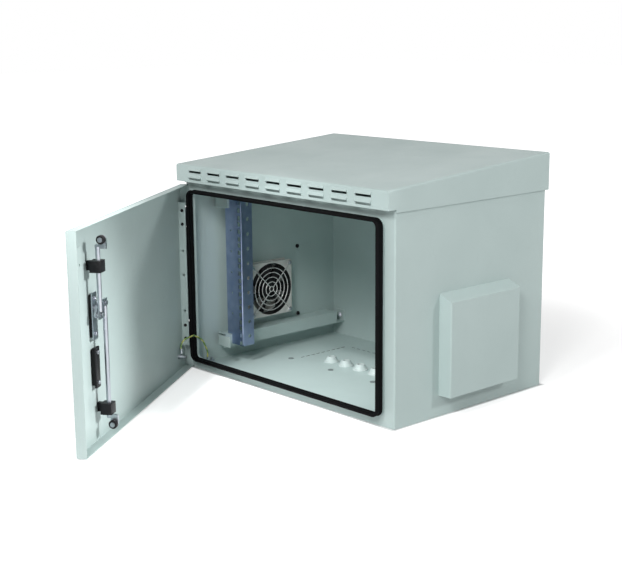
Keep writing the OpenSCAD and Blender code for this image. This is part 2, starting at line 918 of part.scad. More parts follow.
module earth_terminal_door() {
  color(zinc) door_place() translate([door_stud[0], door_in, door_stud[1]]) {
    ybar(0, 0, 17, 0, stud_r);
    rotate([-90, 0, 0]) hex(8, 5);
    translate([0, 6.6, 0]) rotate([-90, 0, 0]) hex(8, 5);
    difference() {
      union() {
        ybar(0, 5, 6.6, 0, 5.4);
        bx(-3.4, 3.4, 5, 6.6, 4, 9);
        translate([0, lug_h, 8]) cylinder(r = barrel_r, h = 10);
      }
      translate([0, lug_h, 11]) cylinder(r = wire_r + 0.15, h = 20);
      ybar(0, 6.6, 20, 0, 7);
    }
  }
}

wire_a = [door_stud[0], door_in + lug_h];
wire_c = [earth_x, earth_y - 11];
wire_mid = [earth_x + 3, yf - 14, 73];
wire_pts = [door_pt([wire_a[0], wire_a[1], door_stud[1] + 12]),
            door_pt([wire_a[0], wire_a[1], door_stud[1] + 19]),
            door_pt([wire_a[0], wire_a[1], door_stud[1] + 26]),
            door_pt([wire_a[0] - 2, wire_a[1] + 7, door_stud[1] + 37]),
            (door_pt([wire_a[0] - 6, wire_a[1] + 18, door_stud[1] + 43]) + wire_mid) / 2 + [0, 0, 1],
            wire_mid, [wire_c[0] + 3, yf + 3, 61], [wire_c[0] + 2, yf + 12, 46],
            [wire_c[0], wire_c[1], 33], [wire_c[0], wire_c[1], 23], [wire_c[0], wire_c[1], 13]];
wire_steps = 3;

function catmull(a, b, c, d, t) = 0.5 * (2 * b + (c - a) * t + (2 * a - 5 * b + 4 * c - d) * t * t
  + (3 * b - a - 3 * c + d) * t * t * t);

function wire_at(i, t) = let (n = len(wire_pts) - 1)
  catmull(wire_pts[max(i - 1, 0)], wire_pts[i], wire_pts[i + 1], wire_pts[min(i + 2, n)], t);

wire_line = concat([for (i = [0:len(wire_pts) - 2]) for (k = [0:wire_steps - 1])
  wire_at(i, k / wire_steps)], [wire_pts[len(wire_pts) - 1]]);

function unit(v) = v / norm(v);

function wire_dir(i) = let (n = len(wire_line) - 1)
  unit(wire_line[min(i + 1, n)] - wire_line[max(i - 1, 0)]);

module earth_wire() {
  n = len(wire_line);
  m = wire_sides;
  rings = [for (i = [0:n - 1]) let (d = wire_dir(i), u = unit(cross(d, [1, 0.2, 0])), v = cross(d, u))
    for (k = [0:m - 1]) wire_line[i] + wire_r * (cos(k * 360 / m) * u + sin(k * 360 / m) * v)];
  sides = [for (i = [0:n - 2]) for (k = [0:m - 1])
    [i * m + k, i * m + (k + 1) % m, (i + 1) * m + (k + 1) % m, (i + 1) * m + k]];
  ends = [[for (k = [0:m - 1]) m - 1 - k], [for (k = [0:m - 1]) (n - 1) * m + k]];
  color([0.35, 0.6, 0.1]) polyhedron(points = rings, faces = concat(sides, ends), convexity = 6);
}

// fixed half of a hinge: plate on the frame, arm, lower knuckle and pin
module hinge_body(z) {
  p = pivot;
  bx(p[0] - 5.5, p[0] + 12, yf - 2.5, yf, z - hinge_half, z + hinge_half);
  bx(p[0] - 2, p[0] + 2, p[1] + 3, yf - 2, z - hinge_half, z - 0.5);
  zbar(p[0], p[1], z - hinge_half, z - 0.5, knuckle_r);
  zbar(p[0], p[1], z - 1, z + 19, pin_r);
}

module hinge_body_lower() {
  color(zinc) hinge_body(hinge_z[0]);
}

module hinge_body_upper() {
  color(zinc) hinge_body(hinge_z[1]);
}

// moving half of a hinge, screwed to the upright strip
module hinge_door(z) {
  p = pivot;
  door_place() difference() {
    union() {
      zbar(p[0], p[1], z, z + 19.5, knuckle_r);
      bx(p[0] + 3, strip_x - 2, p[1] - 2, p[1] + 2, z, z + 19.5);
      bx(strip_x - 3, strip_x, p[1] - 6, p[1] + 3, z - hinge_half, z + hinge_half);
    }
    zbar(p[0], p[1], z - 1, z + 30, pin_r + run_c);
    for (s = [-14, 14]) {
      xbar(strip_x - 5, strip_x + 5, p[1], z + s, 2 + hole_c);
    }
  }
}

module hinge_door_lower() {
  color(zinc) hinge_door(hinge_z[0]);
}

module hinge_door_upper() {
  color(zinc) hinge_door(hinge_z[1]);
}

module strip_screws() {
  color(black) door_place() for (z = hinge_z) {
    for (s = [-14, 14]) {
      xbar(strip_x - 3, strip_x + sheet + 1.4, pivot[1], z + s, 2);
      xbar(strip_x + sheet, strip_x + sheet + 1.4, pivot[1], z + s, 3.2);
    }
  }
}

// pan of the door, shrunk by o and lengthened inwards by e
module pan_solid(o, e) {
  w = 2 * (door_x - o);
  z0 = door_low + o;
  z1 = door_top - o;
  y0 = door_out + o;
  y1 = rim_y + e;
  r = door_r - o;
  intersection() {
    translate([0, 0, z0]) linear_extrude(z1 - z0) union() {
      translate([-w / 2, y0 + r]) square([w, y1 - y0 - r]);
      translate([-w / 2 + r, y0]) square([w - 2 * r, y1 - y0]);
      for (s = [-1, 1]) {
        translate([s * (w / 2 - r), y0 + r]) circle(r = r);
      }
    }
    translate([-hw, 0, 0]) rotate([90, 0, 90]) linear_extrude(body_w) union() {
      translate([y0 + r, z0]) square([y1 - y0 - r, z1 - z0]);
      translate([y0, z0 + r]) square([y1 - y0, z1 - z0 - 2 * r]);
      for (z = [z0 + r, z1 - r]) {
        translate([y0 + r, z]) circle(r = r);
      }
    }
  }
}

module door_panel() {
  color(paint) door_place() difference() {
    union() {
      difference() {
        pan_solid(0, 0);
        pan_solid(sheet, 5);
      }
      bx(door_x - 17, door_x - sheet / 2, rim_y - sheet, rim_y, strip_low + 2, strip_top + 9);
    }
    for (z = hinge_z) {
      bx(-door_x - 1, -door_x + 3, door_in + 1.2, rim_y + 1, z - hinge_half - 2, z + hinge_half + 2);
    }
    ybar(door_x - 8, rim_y - 5, rim_y + 5, strip_top - 21, 2.5);
    boss_upper(0.15, 20);
    boss_lower(0.15, 20);
  }
}

// upright strip beside the hinges
module hinge_strip() {
  color(paint) door_place() difference() {
    union() {
      bx(strip_x, strip_x + sheet, door_in, rim_y - 3, strip_low, strip_top);
      bx(strip_x - 4, strip_x + sheet, door_in, door_in + sheet, strip_low, strip_top);
    }
    for (z = hinge_z) {
      for (s = [-14, 14]) {
        xbar(strip_x - 5, strip_x + 5, pivot[1], z + s, 2 + hole_c);
      }
    }
    for (z = [strip_low + 75, (strip_low + strip_top) / 2, strip_top - 100]) {
      xbar(strip_x - 5, strip_x + 5, pivot[1], z, 2.5);
    }
  }
}

// parts of the handle base that pass through the door, grown by c
module boss_upper(c, o) {
  yplate(boss_w + 2 * c, boss_up_h + 2 * c, boss_r, lock_x, lock_z - boss_up_drop,
         door_out - o, door_in + boss_in);
}

module boss_lower(c, o) {
  yplate(boss_w + 2 * c, boss_low_h + 2 * c, boss_r, lock_x, lock_z - boss_low_drop,
         door_out - o, door_in + boss_in);
}

screw_up = [for (s = [-1, 1]) lock_z - boss_up_drop + s * (boss_up_h / 2 - 7)];
screw_low = [for (s = [-1, 1]) lock_z - boss_low_drop + s * (boss_low_h / 2 - 6)];

module handle_base() {
  color(black) door_place() difference() {
    union() {
      yplate(base_w, base_h, base_w / 2 - 1, lock_x, lock_z - base_drop, door_out - base_t, door_out);
      boss_upper(0, 1);
      boss_lower(0, 1);
    }
    ybar(lock_x, door_out - 10, door_in + 10, lock_z, spindle_r + run_c);
    for (z = concat(screw_up, screw_low)) {
      ybar(lock_x, door_in - 3, door_in + boss_in + 4, z, clamp_screw_r + 0.1);
    }
  }
}

module handle_clamp_upper() {
  color(zinc) door_place() difference() {
    yplate(boss_w + 4, boss_up_h + 2 * clamp_lap, clamp_r, lock_x, lock_z - boss_up_drop,
           door_in + boss_in, door_in + boss_in + clamp_up_t);
    ybar(lock_x, door_in, door_in + 20, lock_z, spindle_r + 0.5);
    for (z = screw_up) {
      ybar(lock_x, door_in, door_in + 20, z, clamp_screw_r + hole_c);
    }
  }
}

module handle_clamp_lower() {
  color(black) door_place() difference() {
    yplate(boss_w + 4, boss_low_h + 2 * clamp_lap, clamp_r, lock_x, lock_z - boss_low_drop,
           door_in + boss_in, door_in + boss_in + clamp_low_t);
    for (z = screw_low) {
      ybar(lock_x, door_in, door_in + 20, z, clamp_screw_r + hole_c);
    }
  }
}

// screw from the clamp plate into a boss, its head on the plate at depth y
module clamp_screw(z, y) {
  ybar(lock_x, door_in - 2, y + 1, z, clamp_screw_r);
  ybar(lock_x, y, y + 2.2, z, 2 * clamp_screw_r - 0.2);
}

module handle_screws() {
  color(zinc) door_place() {
    for (z = screw_up) {
      clamp_screw(z, door_in + boss_in + clamp_up_t);
    }
    for (z = screw_low) {
      clamp_screw(z, door_in + boss_in + clamp_low_t);
    }
  }
}

// block that guides a rod, on a narrow foot
module rod_guide(x, z) {
  y = door_in + rod_h;
  door_place() difference() {
    union() {
      bx(x - 11, x + 11, y - 12, y + 8, z, z + guide_h);
      bx(x - 10, x, door_in, y - 11, z + 2, z + guide_h - 2);
    }
    zbar(x, y, z - 1, z + guide_h + 1, rod_r + run_c);
  }
}

module rod_guide_upper() {
  color(black) rod_guide(up_x, up_guide_z);
}

module rod_guide_lower() {
  color(black) rod_guide(low_x, low_guide_z);
}

// spindle with a head and a fork for the lever, the lever points to the hinges at rest
module spindle() {
  y = door_out;
  color(zinc) door_place() difference() {
    union() {
      ybar(lock_x, y - 10.3, y - 6.3, lock_z, 13);
      ybar(lock_x, y - 8, door_in + rod_h - 10, lock_z, spindle_r);
      bx(lock_x - square_w / 2, lock_x + square_w / 2, door_in, door_in + rod_h - 6,
         lock_z - square_w / 2, lock_z + square_w / 2);
      ybar(lock_x, door_in, door_in + rod_h - 2, lock_z, 3);
      for (s = [-1, 1]) {
        bx(lock_x - 8, lock_x + 8, y - 24, y - 10, lock_z + s * 9 - 2, lock_z + s * 9 + 2);
      }
    }
    zbar(lock_x, y - lever_o, lock_z - 20, lock_z + 20, lever_pin_r + 0.03);
  }
}

// two-armed cam, the pin of the upper rod is low at rest
module lock_cam() {
  y0 = door_in + rod_h - 10;
  color(zinc) door_place() difference() {
    union() {
      translate([lock_x, 0, lock_z]) rotate([0, 45, 0]) {
        bx(-cam_r, cam_r, y0, y0 + 4, -6.5, 6.5);
        for (s = [-1, 1]) {
          ybar(s * cam_r, y0, y0 + 4, 0, 6.5);
          ybar(s * cam_r, y0, y0 + 15.5, 0, cam_pin_r);
          ybar(s * cam_r, y0 + 14, y0 + 15.5, 0, 4);
        }
        ybar(0, y0, y0 + 4, 0, 8);
      }
    }
    bx(lock_x - square_w / 2 - run_c, lock_x + square_w / 2 + run_c, y0 - 1, y0 + 5,
       lock_z - square_w / 2 - run_c, lock_z + square_w / 2 + run_c);
  }
}

module cam_nut() {
  y0 = door_in + rod_h - 6;
  color(zinc) door_place() difference() {
    translate([lock_x, y0, lock_z]) rotate([-90, 0, 0]) hex(10, 3.6);
    ybar(lock_x, y0 - 1, y0 + 10, lock_z, 3 + run_c);
  }
}

module lever_pin() {
  color(zinc) door_place() zbar(lock_x, door_out - lever_o, lock_z - 11.5, lock_z + 11.5, lever_pin_r);
}

module handle_lever() {
  y = door_out;
  color(black) door_place() difference() {
    union() {
      zbar(lock_x, y - lever_o, lock_z - lever_neck_h / 2, lock_z + lever_neck_h / 2, lever_neck_r);
      bx(lock_x - lever_h, lock_x, y - lever_o - 5.5, y - lever_o + 5.5,
         lock_z - lever_neck_h / 2, lock_z + lever_neck_h / 2);
      yplate(lever_l - lever_in, lever_h, lever_h / 3, lock_x - (lever_l + lever_in) / 2, lock_z,
             y - lever_o - 6, y - lever_o + 9.5);
    }
    zbar(lock_x, y - lever_o, lock_z - 20, lock_z + 20, lever_pin_r + run_c);
    ybar(plug_x, y - 30, y, lock_z, 8.1);
  }
}

module lock_cylinder() {
  y = door_out;
  color(silver) door_place() difference() {
    union() {
      ybar(plug_x, y - 24, y - 8.5, lock_z, 8);
      ybar(plug_x, y - 25.2, y - 24, lock_z, 9.5);
    }
    ybar(plug_x, y - 30, y, lock_z, 5 + run_c);
  }
}

module lock_plug() {
  y = door_out;
  color(silver) door_place() difference() {
    ybar(plug_x, y - 25.2, y - 8.5, lock_z, 5);
    bx(plug_x - 0.7, plug_x + 0.7, y - 30, y - 16, lock_z - 3.2, lock_z + 3.2);
  }
}

// rod with a slotted eye for the cam pin and a cranked lug with the roller's axle;
// s is 1 for the upper rod and -1 for the lower one
module lock_rod(x, eye_z, end_z, s) {
  y = door_in + rod_h;
  ya = door_in + roller_h;
  lo = end_z - s * 16;
  mid = end_z - s * 9.5;
  half = cam_r * (1 - cos(45)) / 2 + cam_pin_r + 0.6;
  door_place() difference() {
    union() {
      bx(x - 8.2, x + 8.2, y - 1.5, y + 1.5, eye_z - 7, eye_z + 7);
      zbar(x, y, min(eye_z + s * 5.4, lo + s * 3), max(eye_z + s * 5.4, lo + s * 3), rod_r);
      bx(x - 2, x + 2, y - 4, ya + 6.8, min(lo, mid), max(lo, mid));
      bx(x - 2, x + 2, ya - 6.8, ya + 6.8, min(mid, end_z), max(mid, end_z));
      xbar(x - 2, x + 2, ya, end_z, 6.8);
      xbar(x, x + 11.5, ya, end_z, cam_pin_r);
      xbar(x + 10.4, x + 12, ya, end_z, 4.2);
    }
    bx(x - half, x + half, y - 5, y + 5, eye_z - cam_pin_r - 0.8, eye_z + cam_pin_r + 0.8);
  }
}

module upper_rod() {
  color(zinc) lock_rod(up_x, lock_z - cam_r * sin(45), up_roller_z, 1);
}

module lower_rod() {
  color(zinc) lock_rod(low_x, lock_z + cam_r * sin(45), low_roller_z, -1);
}

module roller(x, z) {
  ya = door_in + roller_h;
  door_place() difference() {
    xbar(x + 2.6, x + 10, ya, z, roller_r);
    xbar(x, x + 20, ya, z, cam_pin_r + run_c);
  }
}

module upper_roller() {
  color(black) roller(up_x, up_roller_z);
}

module lower_roller() {
  color(black) roller(low_x, low_roller_z);
}

module wall_spacers() {
  color(zinc) for (x = [-wall_x, wall_x]) {
    for (z = wall_z) {
      difference() {
        ybar(x, yr, yr + spacer_t, z, 15);
        ybar(x, yr - 1, yr + spacer_t + 1, z, wall_r);
      }
    }
  }
}

left_side_panel();
right_side_panel();
rear_panel();
floor_panel();
top_panel();
front_frame();
door_gasket();
roof_canopy();
roof_bolts();
left_hood();
right_hood();
hood_screws();
left_filter_mat();
right_filter_mat();
left_filter_holder();
right_filter_holder();
filter_screws();
fan_frame();
fan_impeller();
fan_guard();
fan_screws();
cable_grommets();
floor_plugs();
left_lower_rail();
left_upper_rail();
right_lower_rail();
right_upper_rail();
left_rack_rail();
right_rack_rail();
rail_screws();
earth_terminal_body();
earth_wire();
hinge_body_lower();
hinge_body_upper();
wall_spacers();
door_panel();
hinge_strip();
hinge_door_lower();
hinge_door_upper();
strip_screws();
handle_base();
handle_clamp_upper();
handle_clamp_lower();
handle_screws();
rod_guide_upper();
rod_guide_lower();
earth_terminal_door();
spindle();
lock_cam();
cam_nut();
lever_pin();
handle_lever();
lock_cylinder();
lock_plug();
upper_rod();
upper_roller();
lower_rod();
lower_roller();
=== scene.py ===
import json
import math

import bmesh
import bpy
from mathutils import Matrix, Vector


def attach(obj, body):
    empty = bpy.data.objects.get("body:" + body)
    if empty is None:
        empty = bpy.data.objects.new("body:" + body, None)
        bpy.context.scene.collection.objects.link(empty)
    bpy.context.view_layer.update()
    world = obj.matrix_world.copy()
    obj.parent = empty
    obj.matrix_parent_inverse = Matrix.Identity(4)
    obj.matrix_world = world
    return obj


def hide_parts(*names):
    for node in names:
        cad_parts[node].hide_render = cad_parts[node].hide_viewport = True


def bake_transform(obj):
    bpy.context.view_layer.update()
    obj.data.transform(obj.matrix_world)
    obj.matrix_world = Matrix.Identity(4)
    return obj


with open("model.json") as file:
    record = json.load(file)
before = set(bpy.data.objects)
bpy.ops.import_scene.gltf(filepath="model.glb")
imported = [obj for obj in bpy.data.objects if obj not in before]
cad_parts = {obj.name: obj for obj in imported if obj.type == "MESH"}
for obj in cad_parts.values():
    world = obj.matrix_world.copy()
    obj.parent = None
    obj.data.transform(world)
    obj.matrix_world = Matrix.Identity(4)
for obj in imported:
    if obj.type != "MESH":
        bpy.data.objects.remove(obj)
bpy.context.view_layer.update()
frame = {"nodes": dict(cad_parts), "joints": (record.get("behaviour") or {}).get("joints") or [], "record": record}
nodes = frame["nodes"]
scene = bpy.context.scene
scene.view_settings.view_transform = "Standard"

# places that several pieces share; plain numbers are in millimetres, vectors in metres
# what sits on the door is laid out with the door shut, and DOOR swings it to where it rests
MM = 0.001
hinge = next(j for j in frame["joints"] if j["name"] == "door_hinge")
PIVOT = Vector((hinge["pos_m"][0], hinge["pos_m"][1], 0))
SWING = Matrix.Rotation(math.radians(hinge["range_deg"][0]), 4, "Z")
DOOR = Matrix.Translation(PIVOT) @ SWING @ Matrix.Translation(-PIVOT)
STILL = Matrix.Identity(4)
FACE_RIGHT = Matrix.Rotation(math.radians(90), 4, "Y")
DOOR_IN = -228.3
FAN_Y, FAN_Z = -4, 139
FAN = Vector((-273.5, FAN_Y, FAN_Z)) * MM
FAN_BORE_R = 57.15
FAN_BOLT = 52.5


def linked(name, data):
    obj = bpy.data.objects.new(name, data)
    scene.collection.objects.link(obj)
    return obj


# camera of the photograph, found from the cabinet's straight edges

def photo_camera():
    focal_px, image_w, sensor = 1268.12, 622, 36
    eye = Vector((1801.72, -1757.65, 718.13)) * MM
    yaw, pitch, roll = (math.radians(a) for a in (47.97, 12.22, -0.52))
    ahead = Vector((-math.sin(yaw) * math.cos(pitch), math.cos(yaw) * math.cos(pitch),
                    -math.sin(pitch)))
    right = Vector((math.cos(yaw), math.sin(yaw), 0))
    up = right.cross(ahead)
    right_r = right * math.cos(roll) + up * math.sin(roll)
    up_r = up * math.cos(roll) - right * math.sin(roll)
    data = bpy.data.cameras.new("photo_camera")
    data.sensor_fit = "HORIZONTAL"
    data.sensor_width = sensor
    data.lens = focal_px / image_w * sensor
    data.clip_start, data.clip_end = 0.05, 60
    camera = linked("photo_camera", data)
    turn = Matrix((right_r, up_r, -ahead)).transposed().to_4x4()
    camera.matrix_world = Matrix.Translation(eye) @ turn
    scene.camera = camera


photo_camera()


# nodes of shader and geometry trees

def add(tree, kind, values=None, links=None, **settings):
    node = tree.nodes.new(kind)
    for key, value in settings.items():
        setattr(node, key, value)
    for key, value in (values or {}).items():
        node.inputs[key].default_value = value
    for key, source in (links or {}).items():
        tree.links.new(source, node.inputs[key])
    return node


def maths(tree, operation, *terms):
    """Result of a Math node; each term is a number or a socket."""
    node = add(tree, "ShaderNodeMath", operation=operation)
    for k, term in enumerate(terms):
        if isinstance(term, bpy.types.NodeSocket):
            tree.links.new(term, node.inputs[k])
        else:
            node.inputs[k].default_value = term
    return node.outputs[0]


def ranged(tree, value, **limits):
    """Value brought to another range; limits name the Map Range sockets."""
    limits = {key.replace("_", " "): limit for key, limit in limits.items()}
    return add(tree, "ShaderNodeMapRange", limits, {"Value": value}).outputs["Result"]


# shader groups shared by the finishes

def shader_group(name, inputs, outputs):
    tree = bpy.data.node_groups.new(name, "ShaderNodeTree")
    for label, kind, value in inputs:
        socket = tree.interface.new_socket(label, in_out="INPUT", socket_type=kind)
        if value is not None:
            socket.default_value = value
    for label in outputs:
        tree.interface.new_socket(label, in_out="OUTPUT", socket_type="NodeSocketFloat")
    return tree, tree.nodes.new("NodeGroupInput"), tree.nodes.new("NodeGroupOutput")


def coat_grain_group():
    """Fine orange peel of a coat or moulding, with a broad mottle."""
    tree, i, o = shader_group("coat_grain", [("Vector", "NodeSocketVector", None),
                                             ("Grain Scale", "NodeSocketFloat", 800),
                                             ("Mottle Scale", "NodeSocketFloat", 7)],
                              ["Height", "Mottle"])
    fine = add(tree, "ShaderNodeTexNoise", {"Detail": 2.5, "Roughness": 0.55},
               {"Vector": i.outputs["Vector"], "Scale": i.outputs["Grain Scale"]})
    broad = add(tree, "ShaderNodeTexNoise", {"Detail": 4, "Roughness": 0.6, "Distortion": 0.4},
                {"Vector": i.outputs["Vector"], "Scale": i.outputs["Mottle Scale"]})
    even = ranged(tree, broad.outputs["Fac"], From_Min=0.3, From_Max=0.7)
    tree.links.new(fine.outputs["Fac"], o.inputs["Height"])
    tree.links.new(even, o.inputs["Mottle"])
    return tree


def brushed_lines_group():
    """Fine drawn lines of rolled or plated metal, along the axis with the small scale."""
    tree, i, o = shader_group("brushed_lines", [("Vector", "NodeSocketVector", None),
                                                ("Line Scale", "NodeSocketVector", (900, 900, 14))],
                              ["Lines", "Bloom"])
    stretch = add(tree, "ShaderNodeMapping", {}, {"Vector": i.outputs["Vector"],
                                                  "Scale": i.outputs["Line Scale"]})
    lines = add(tree, "ShaderNodeTexNoise", {"Scale": 1, "Detail": 3, "Roughness": 0.6},
                {"Vector": stretch.outputs["Vector"]})
    bloom = add(tree, "ShaderNodeTexVoronoi", {"Scale": 55, "Randomness": 1},
                {"Vector": i.outputs["Vector"]})
    tree.links.new(lines.outputs["Fac"], o.inputs["Lines"])
    tree.links.new(bloom.outputs["Distance"], o.inputs["Bloom"])
    return tree


def handling_marks_group():
    """Faint rubs and dust left by handling."""
    tree, i, o = shader_group("handling_marks", [("Vector", "NodeSocketVector", None),
                                                 ("Spread", "NodeSocketFloat", 0.62)], ["Mark"])
    large = add(tree, "ShaderNodeTexNoise",
                {"Scale": 11, "Detail": 5, "Roughness": 0.7, "Distortion": 0.8},
                {"Vector": i.outputs["Vector"]})
    small = add(tree, "ShaderNodeTexNoise", {"Scale": 140, "Detail": 3, "Roughness": 0.7},
                {"Vector": i.outputs["Vector"]})
    both = maths(tree, "MULTIPLY", large.outputs["Fac"], small.outputs["Fac"])
    mark = add(tree, "ShaderNodeMapRange", {"From Max": 0.95},
               {"Value": maths(tree, "MULTIPLY", both, 2.0), "From Min": i.outputs["Spread"]})
    tree.links.new(mark.outputs["Result"], o.inputs["Mark"])
    return tree


COAT_GRAIN = coat_grain_group()
BRUSHED_LINES = brushed_lines_group()
HANDLING_MARKS = handling_marks_group()


# finishes; depths of grain are in metres

def finish_base(name, **fixed):
    """Material with a Principled shader whose plain values are set on its sockets."""
    mat = bpy.data.materials.new(name)
    mat.use_nodes = True
    tree = mat.node_tree
    tree.nodes.clear()
    shader = add(tree, "ShaderNodeBsdfPrincipled", fixed)
    add(tree, "ShaderNodeOutputMaterial", {}, {"Surface": shader.outputs["BSDF"]})
    coords = add(tree, "ShaderNodeTexCoord")
    return mat, tree, shader, coords.outputs["Object"]


def placed(tree, group, vector, **values):
    node = add(tree, "ShaderNodeGroup", {}, {}, node_tree=group)
    tree.links.new(vector, node.inputs["Vector"])
    for key, value in values.items():
        node.inputs[key.replace("_", " ")].default_value = value
    return node


def two_tone(tree, mask, first, second):
    mix = add(tree, "ShaderNodeMix", {}, {}, data_type="RGBA")
    mix.inputs[6].default_value = (*first, 1)
    mix.inputs[7].default_value = (*second, 1)
    tree.links.new(mask, mix.inputs[0])
    return mix.outputs[2]


def darkened(tree, colour, mask, tone, share):
    """colour, turned towards tone by share where mask is 1."""
    mix = add(tree, "ShaderNodeMix", {}, {}, data_type="RGBA")
    tree.links.new(maths(tree, "MULTIPLY", mask, share), mix.inputs[0])
    tree.links.new(colour, mix.inputs[6])
    mix.inputs[7].default_value = (*tone, 1)
    return mix.outputs[2]


def spread(tree, mask, low, high):
    return ranged(tree, mask, To_Min=low, To_Max=high)


def bumped(tree, shader, height, depth, share=1.0):
    bump = add(tree, "ShaderNodeBump", {"Strength": share, "Distance": depth}, {"Height": height})
    tree.links.new(bump.outputs["Normal"], shader.inputs["Normal"])


def coated(name, light, dark, rough, grain, depth, mark_tone, mark_share, **fixed):
    """Powder coat or moulded plastic: grain, mottle and faint handling marks."""
    mat, tree, shader, vector = finish_base(name, **fixed)
    coat = placed(tree, COAT_GRAIN, vector, Grain_Scale=grain)
    marks = placed(tree, HANDLING_MARKS, vector)
    tone = two_tone(tree, coat.outputs["Mottle"], light, dark)
    tone = darkened(tree, tone, marks.outputs["Mark"], mark_tone, mark_share)
    tree.links.new(tone, shader.inputs["Base Color"])
    worn = maths(tree, "ADD", coat.outputs["Mottle"], marks.outputs["Mark"])
    tree.links.new(spread(tree, worn, *rough), shader.inputs["Roughness"])
    bumped(tree, shader, coat.outputs["Height"], depth)
    return mat


def plated(name, light, dark, rough, line_scale, depth, **fixed):
    """Plated or bare metal with drawn lines and a soft bloom."""
    mat, tree, shader, vector = finish_base(name, **{"Metallic": 1.0, **fixed})
    lines = placed(tree, BRUSHED_LINES, vector, Line_Scale=line_scale)
    marks = placed(tree, HANDLING_MARKS, vector)
    tone = two_tone(tree, lines.outputs["Bloom"], light, dark)
    tone = darkened(tree, tone, marks.outputs["Mark"], [c * 0.6 for c in dark], 0.35)
    tree.links.new(tone, shader.inputs["Base Color"])
    tree.links.new(spread(tree, lines.outputs["Lines"], *rough), shader.inputs["Roughness"])
    bumped(tree, shader, lines.outputs["Lines"], depth, 0.6)
    return mat


GREY_COAT = coated(
    "grey_powder_coat", light=(0.490, 0.592, 0.578), dark=(0.468, 0.568, 0.555), rough=(0.40, 0.54),
    grain=900, depth=0.00006, mark_tone=(0.38, 0.45, 0.44), mark_share=0.14,
    **{"Specular IOR Level": 0.3})
BLACK_MOULDING = coated(
    "black_moulding", light=(0.008, 0.008, 0.009), dark=(0.014, 0.014, 0.016), rough=(0.38, 0.55),
    grain=1600, depth=0.00008, mark_tone=(0.04, 0.04, 0.04), mark_share=0.25,
    **{"Specular IOR Level": 0.2})
SOFT_GREY = coated(
    "soft_grey_plastic", light=(0.54, 0.62, 0.61), dark=(0.49, 0.57, 0.56), rough=(0.42, 0.55),
    grain=1200, depth=0.00005, mark_tone=(0.40, 0.42, 0.40), mark_share=0.2)
PLUG_GREY = coated(
    "grey_floor_plug", light=(0.21, 0.25, 0.25), dark=(0.17, 0.20, 0.20), rough=(0.45, 0.60),
    grain=1200, depth=0.00005, mark_tone=(0.12, 0.12, 0.12), mark_share=0.2)
SEAL_RUBBER = coated(
    "seal_rubber", light=(0.003, 0.003, 0.003), dark=(0.006, 0.006, 0.007), rough=(0.55, 0.72),
    grain=1300, depth=0.0001, mark_tone=(0.02, 0.02, 0.02), mark_share=0.2,
    **{"Specular IOR Level": 0.05})
BLUE_ZINC = plated(
    "blue_zinc", light=(0.40, 0.46, 0.64), dark=(0.28, 0.34, 0.53), rough=(0.26, 0.42),
    line_scale=(900, 900, 16), depth=0.00004)
ROD_ZINC = plated(
    "rod_zinc", light=(0.50, 0.53, 0.56), dark=(0.37, 0.40, 0.45), rough=(0.24, 0.38),
    line_scale=(700, 700, 30), depth=0.00004)
BRIGHT_WIRE = plated(
    "bright_wire", light=(0.86, 0.85, 0.83), dark=(0.74, 0.73, 0.72), rough=(0.20, 0.32),
    line_scale=(600, 600, 600), depth=0.00002, Metallic=0.5)


def fan_casting():
    """Cast fan frame; its bore, motor and struts are black."""
    mat, tree, shader, vector = finish_base("cast_fan_metal")
    lines = placed(tree, BRUSHED_LINES, vector, Line_Scale=(420, 420, 420))
    tone = two_tone(tree, lines.outputs["Bloom"], (0.74, 0.73, 0.70), (0.62, 0.61, 0.59))
    centred = add(tree, "ShaderNodeVectorMath", {1: FAN}, {0: vector}, operation="SUBTRACT")
    across = add(tree, "ShaderNodeVectorMath", {1: (0, 1, 1)}, {0: centred.outputs[0]},
                 operation="MULTIPLY")
    radius = add(tree, "ShaderNodeVectorMath", {}, {0: across.outputs[0]}, operation="LENGTH")
    bore = maths(tree, "LESS_THAN", radius.outputs["Value"], FAN_BORE_R * MM)
    tone = darkened(tree, tone, bore, (0.012, 0.012, 0.013), 1.0)
    tree.links.new(tone, shader.inputs["Base Color"])
    tree.links.new(spread(tree, bore, 0.3, 0.0), shader.inputs["Metallic"])
    tree.links.new(spread(tree, lines.outputs["Lines"], 0.40, 0.60), shader.inputs["Roughness"])
    bumped(tree, shader, lines.outputs["Lines"], 0.00012, 0.6)
    return mat


def slot_shaded_coat():
    """The grey coat on a punched floor, with painted shade on the cut edges of its slots."""
    mat = GREY_COAT.copy()
    mat.name = "punched_grey_coat"
    tree = mat.node_tree
    shader = next(n for n in tree.nodes if n.type == "BSDF_PRINCIPLED")
    tone = shader.inputs["Base Color"].links[0].from_socket
    normal = add(tree, "ShaderNodeNewGeometry").outputs["True Normal"]
    facing = add(tree, "ShaderNodeSeparateXYZ", {}, {"Vector": normal})
    # painted shade: upright faces, the walls of the slots, are darkened to stand in for the shadow inside the
    # slots
    cut = maths(tree, "LESS_THAN", maths(tree, "ABSOLUTE", facing.outputs["Z"]), 0.5)
    tone = darkened(tree, tone, cut, (0.09, 0.11, 0.11), 0.9)
    tree.links.new(tone, shader.inputs["Base Color"])
    return mat


def filter_fibre():
    mat, tree, shader, vector = finish_base("filter_fibre", Roughness=0.95)
    strands = add(tree, "ShaderNodeTexNoise",
                  {"Scale": 260, "Detail": 6, "Roughness": 0.75, "Distortion": 2.5},
                  {"Vector": vector}).outputs["Fac"]
    tone = two_tone(tree, strands, (0.46, 0.46, 0.42), (0.80, 0.80, 0.75))
    tree.links.new(tone, shader.inputs["Base Color"])
    bumped(tree, shader, strands, 0.0012)
    return mat


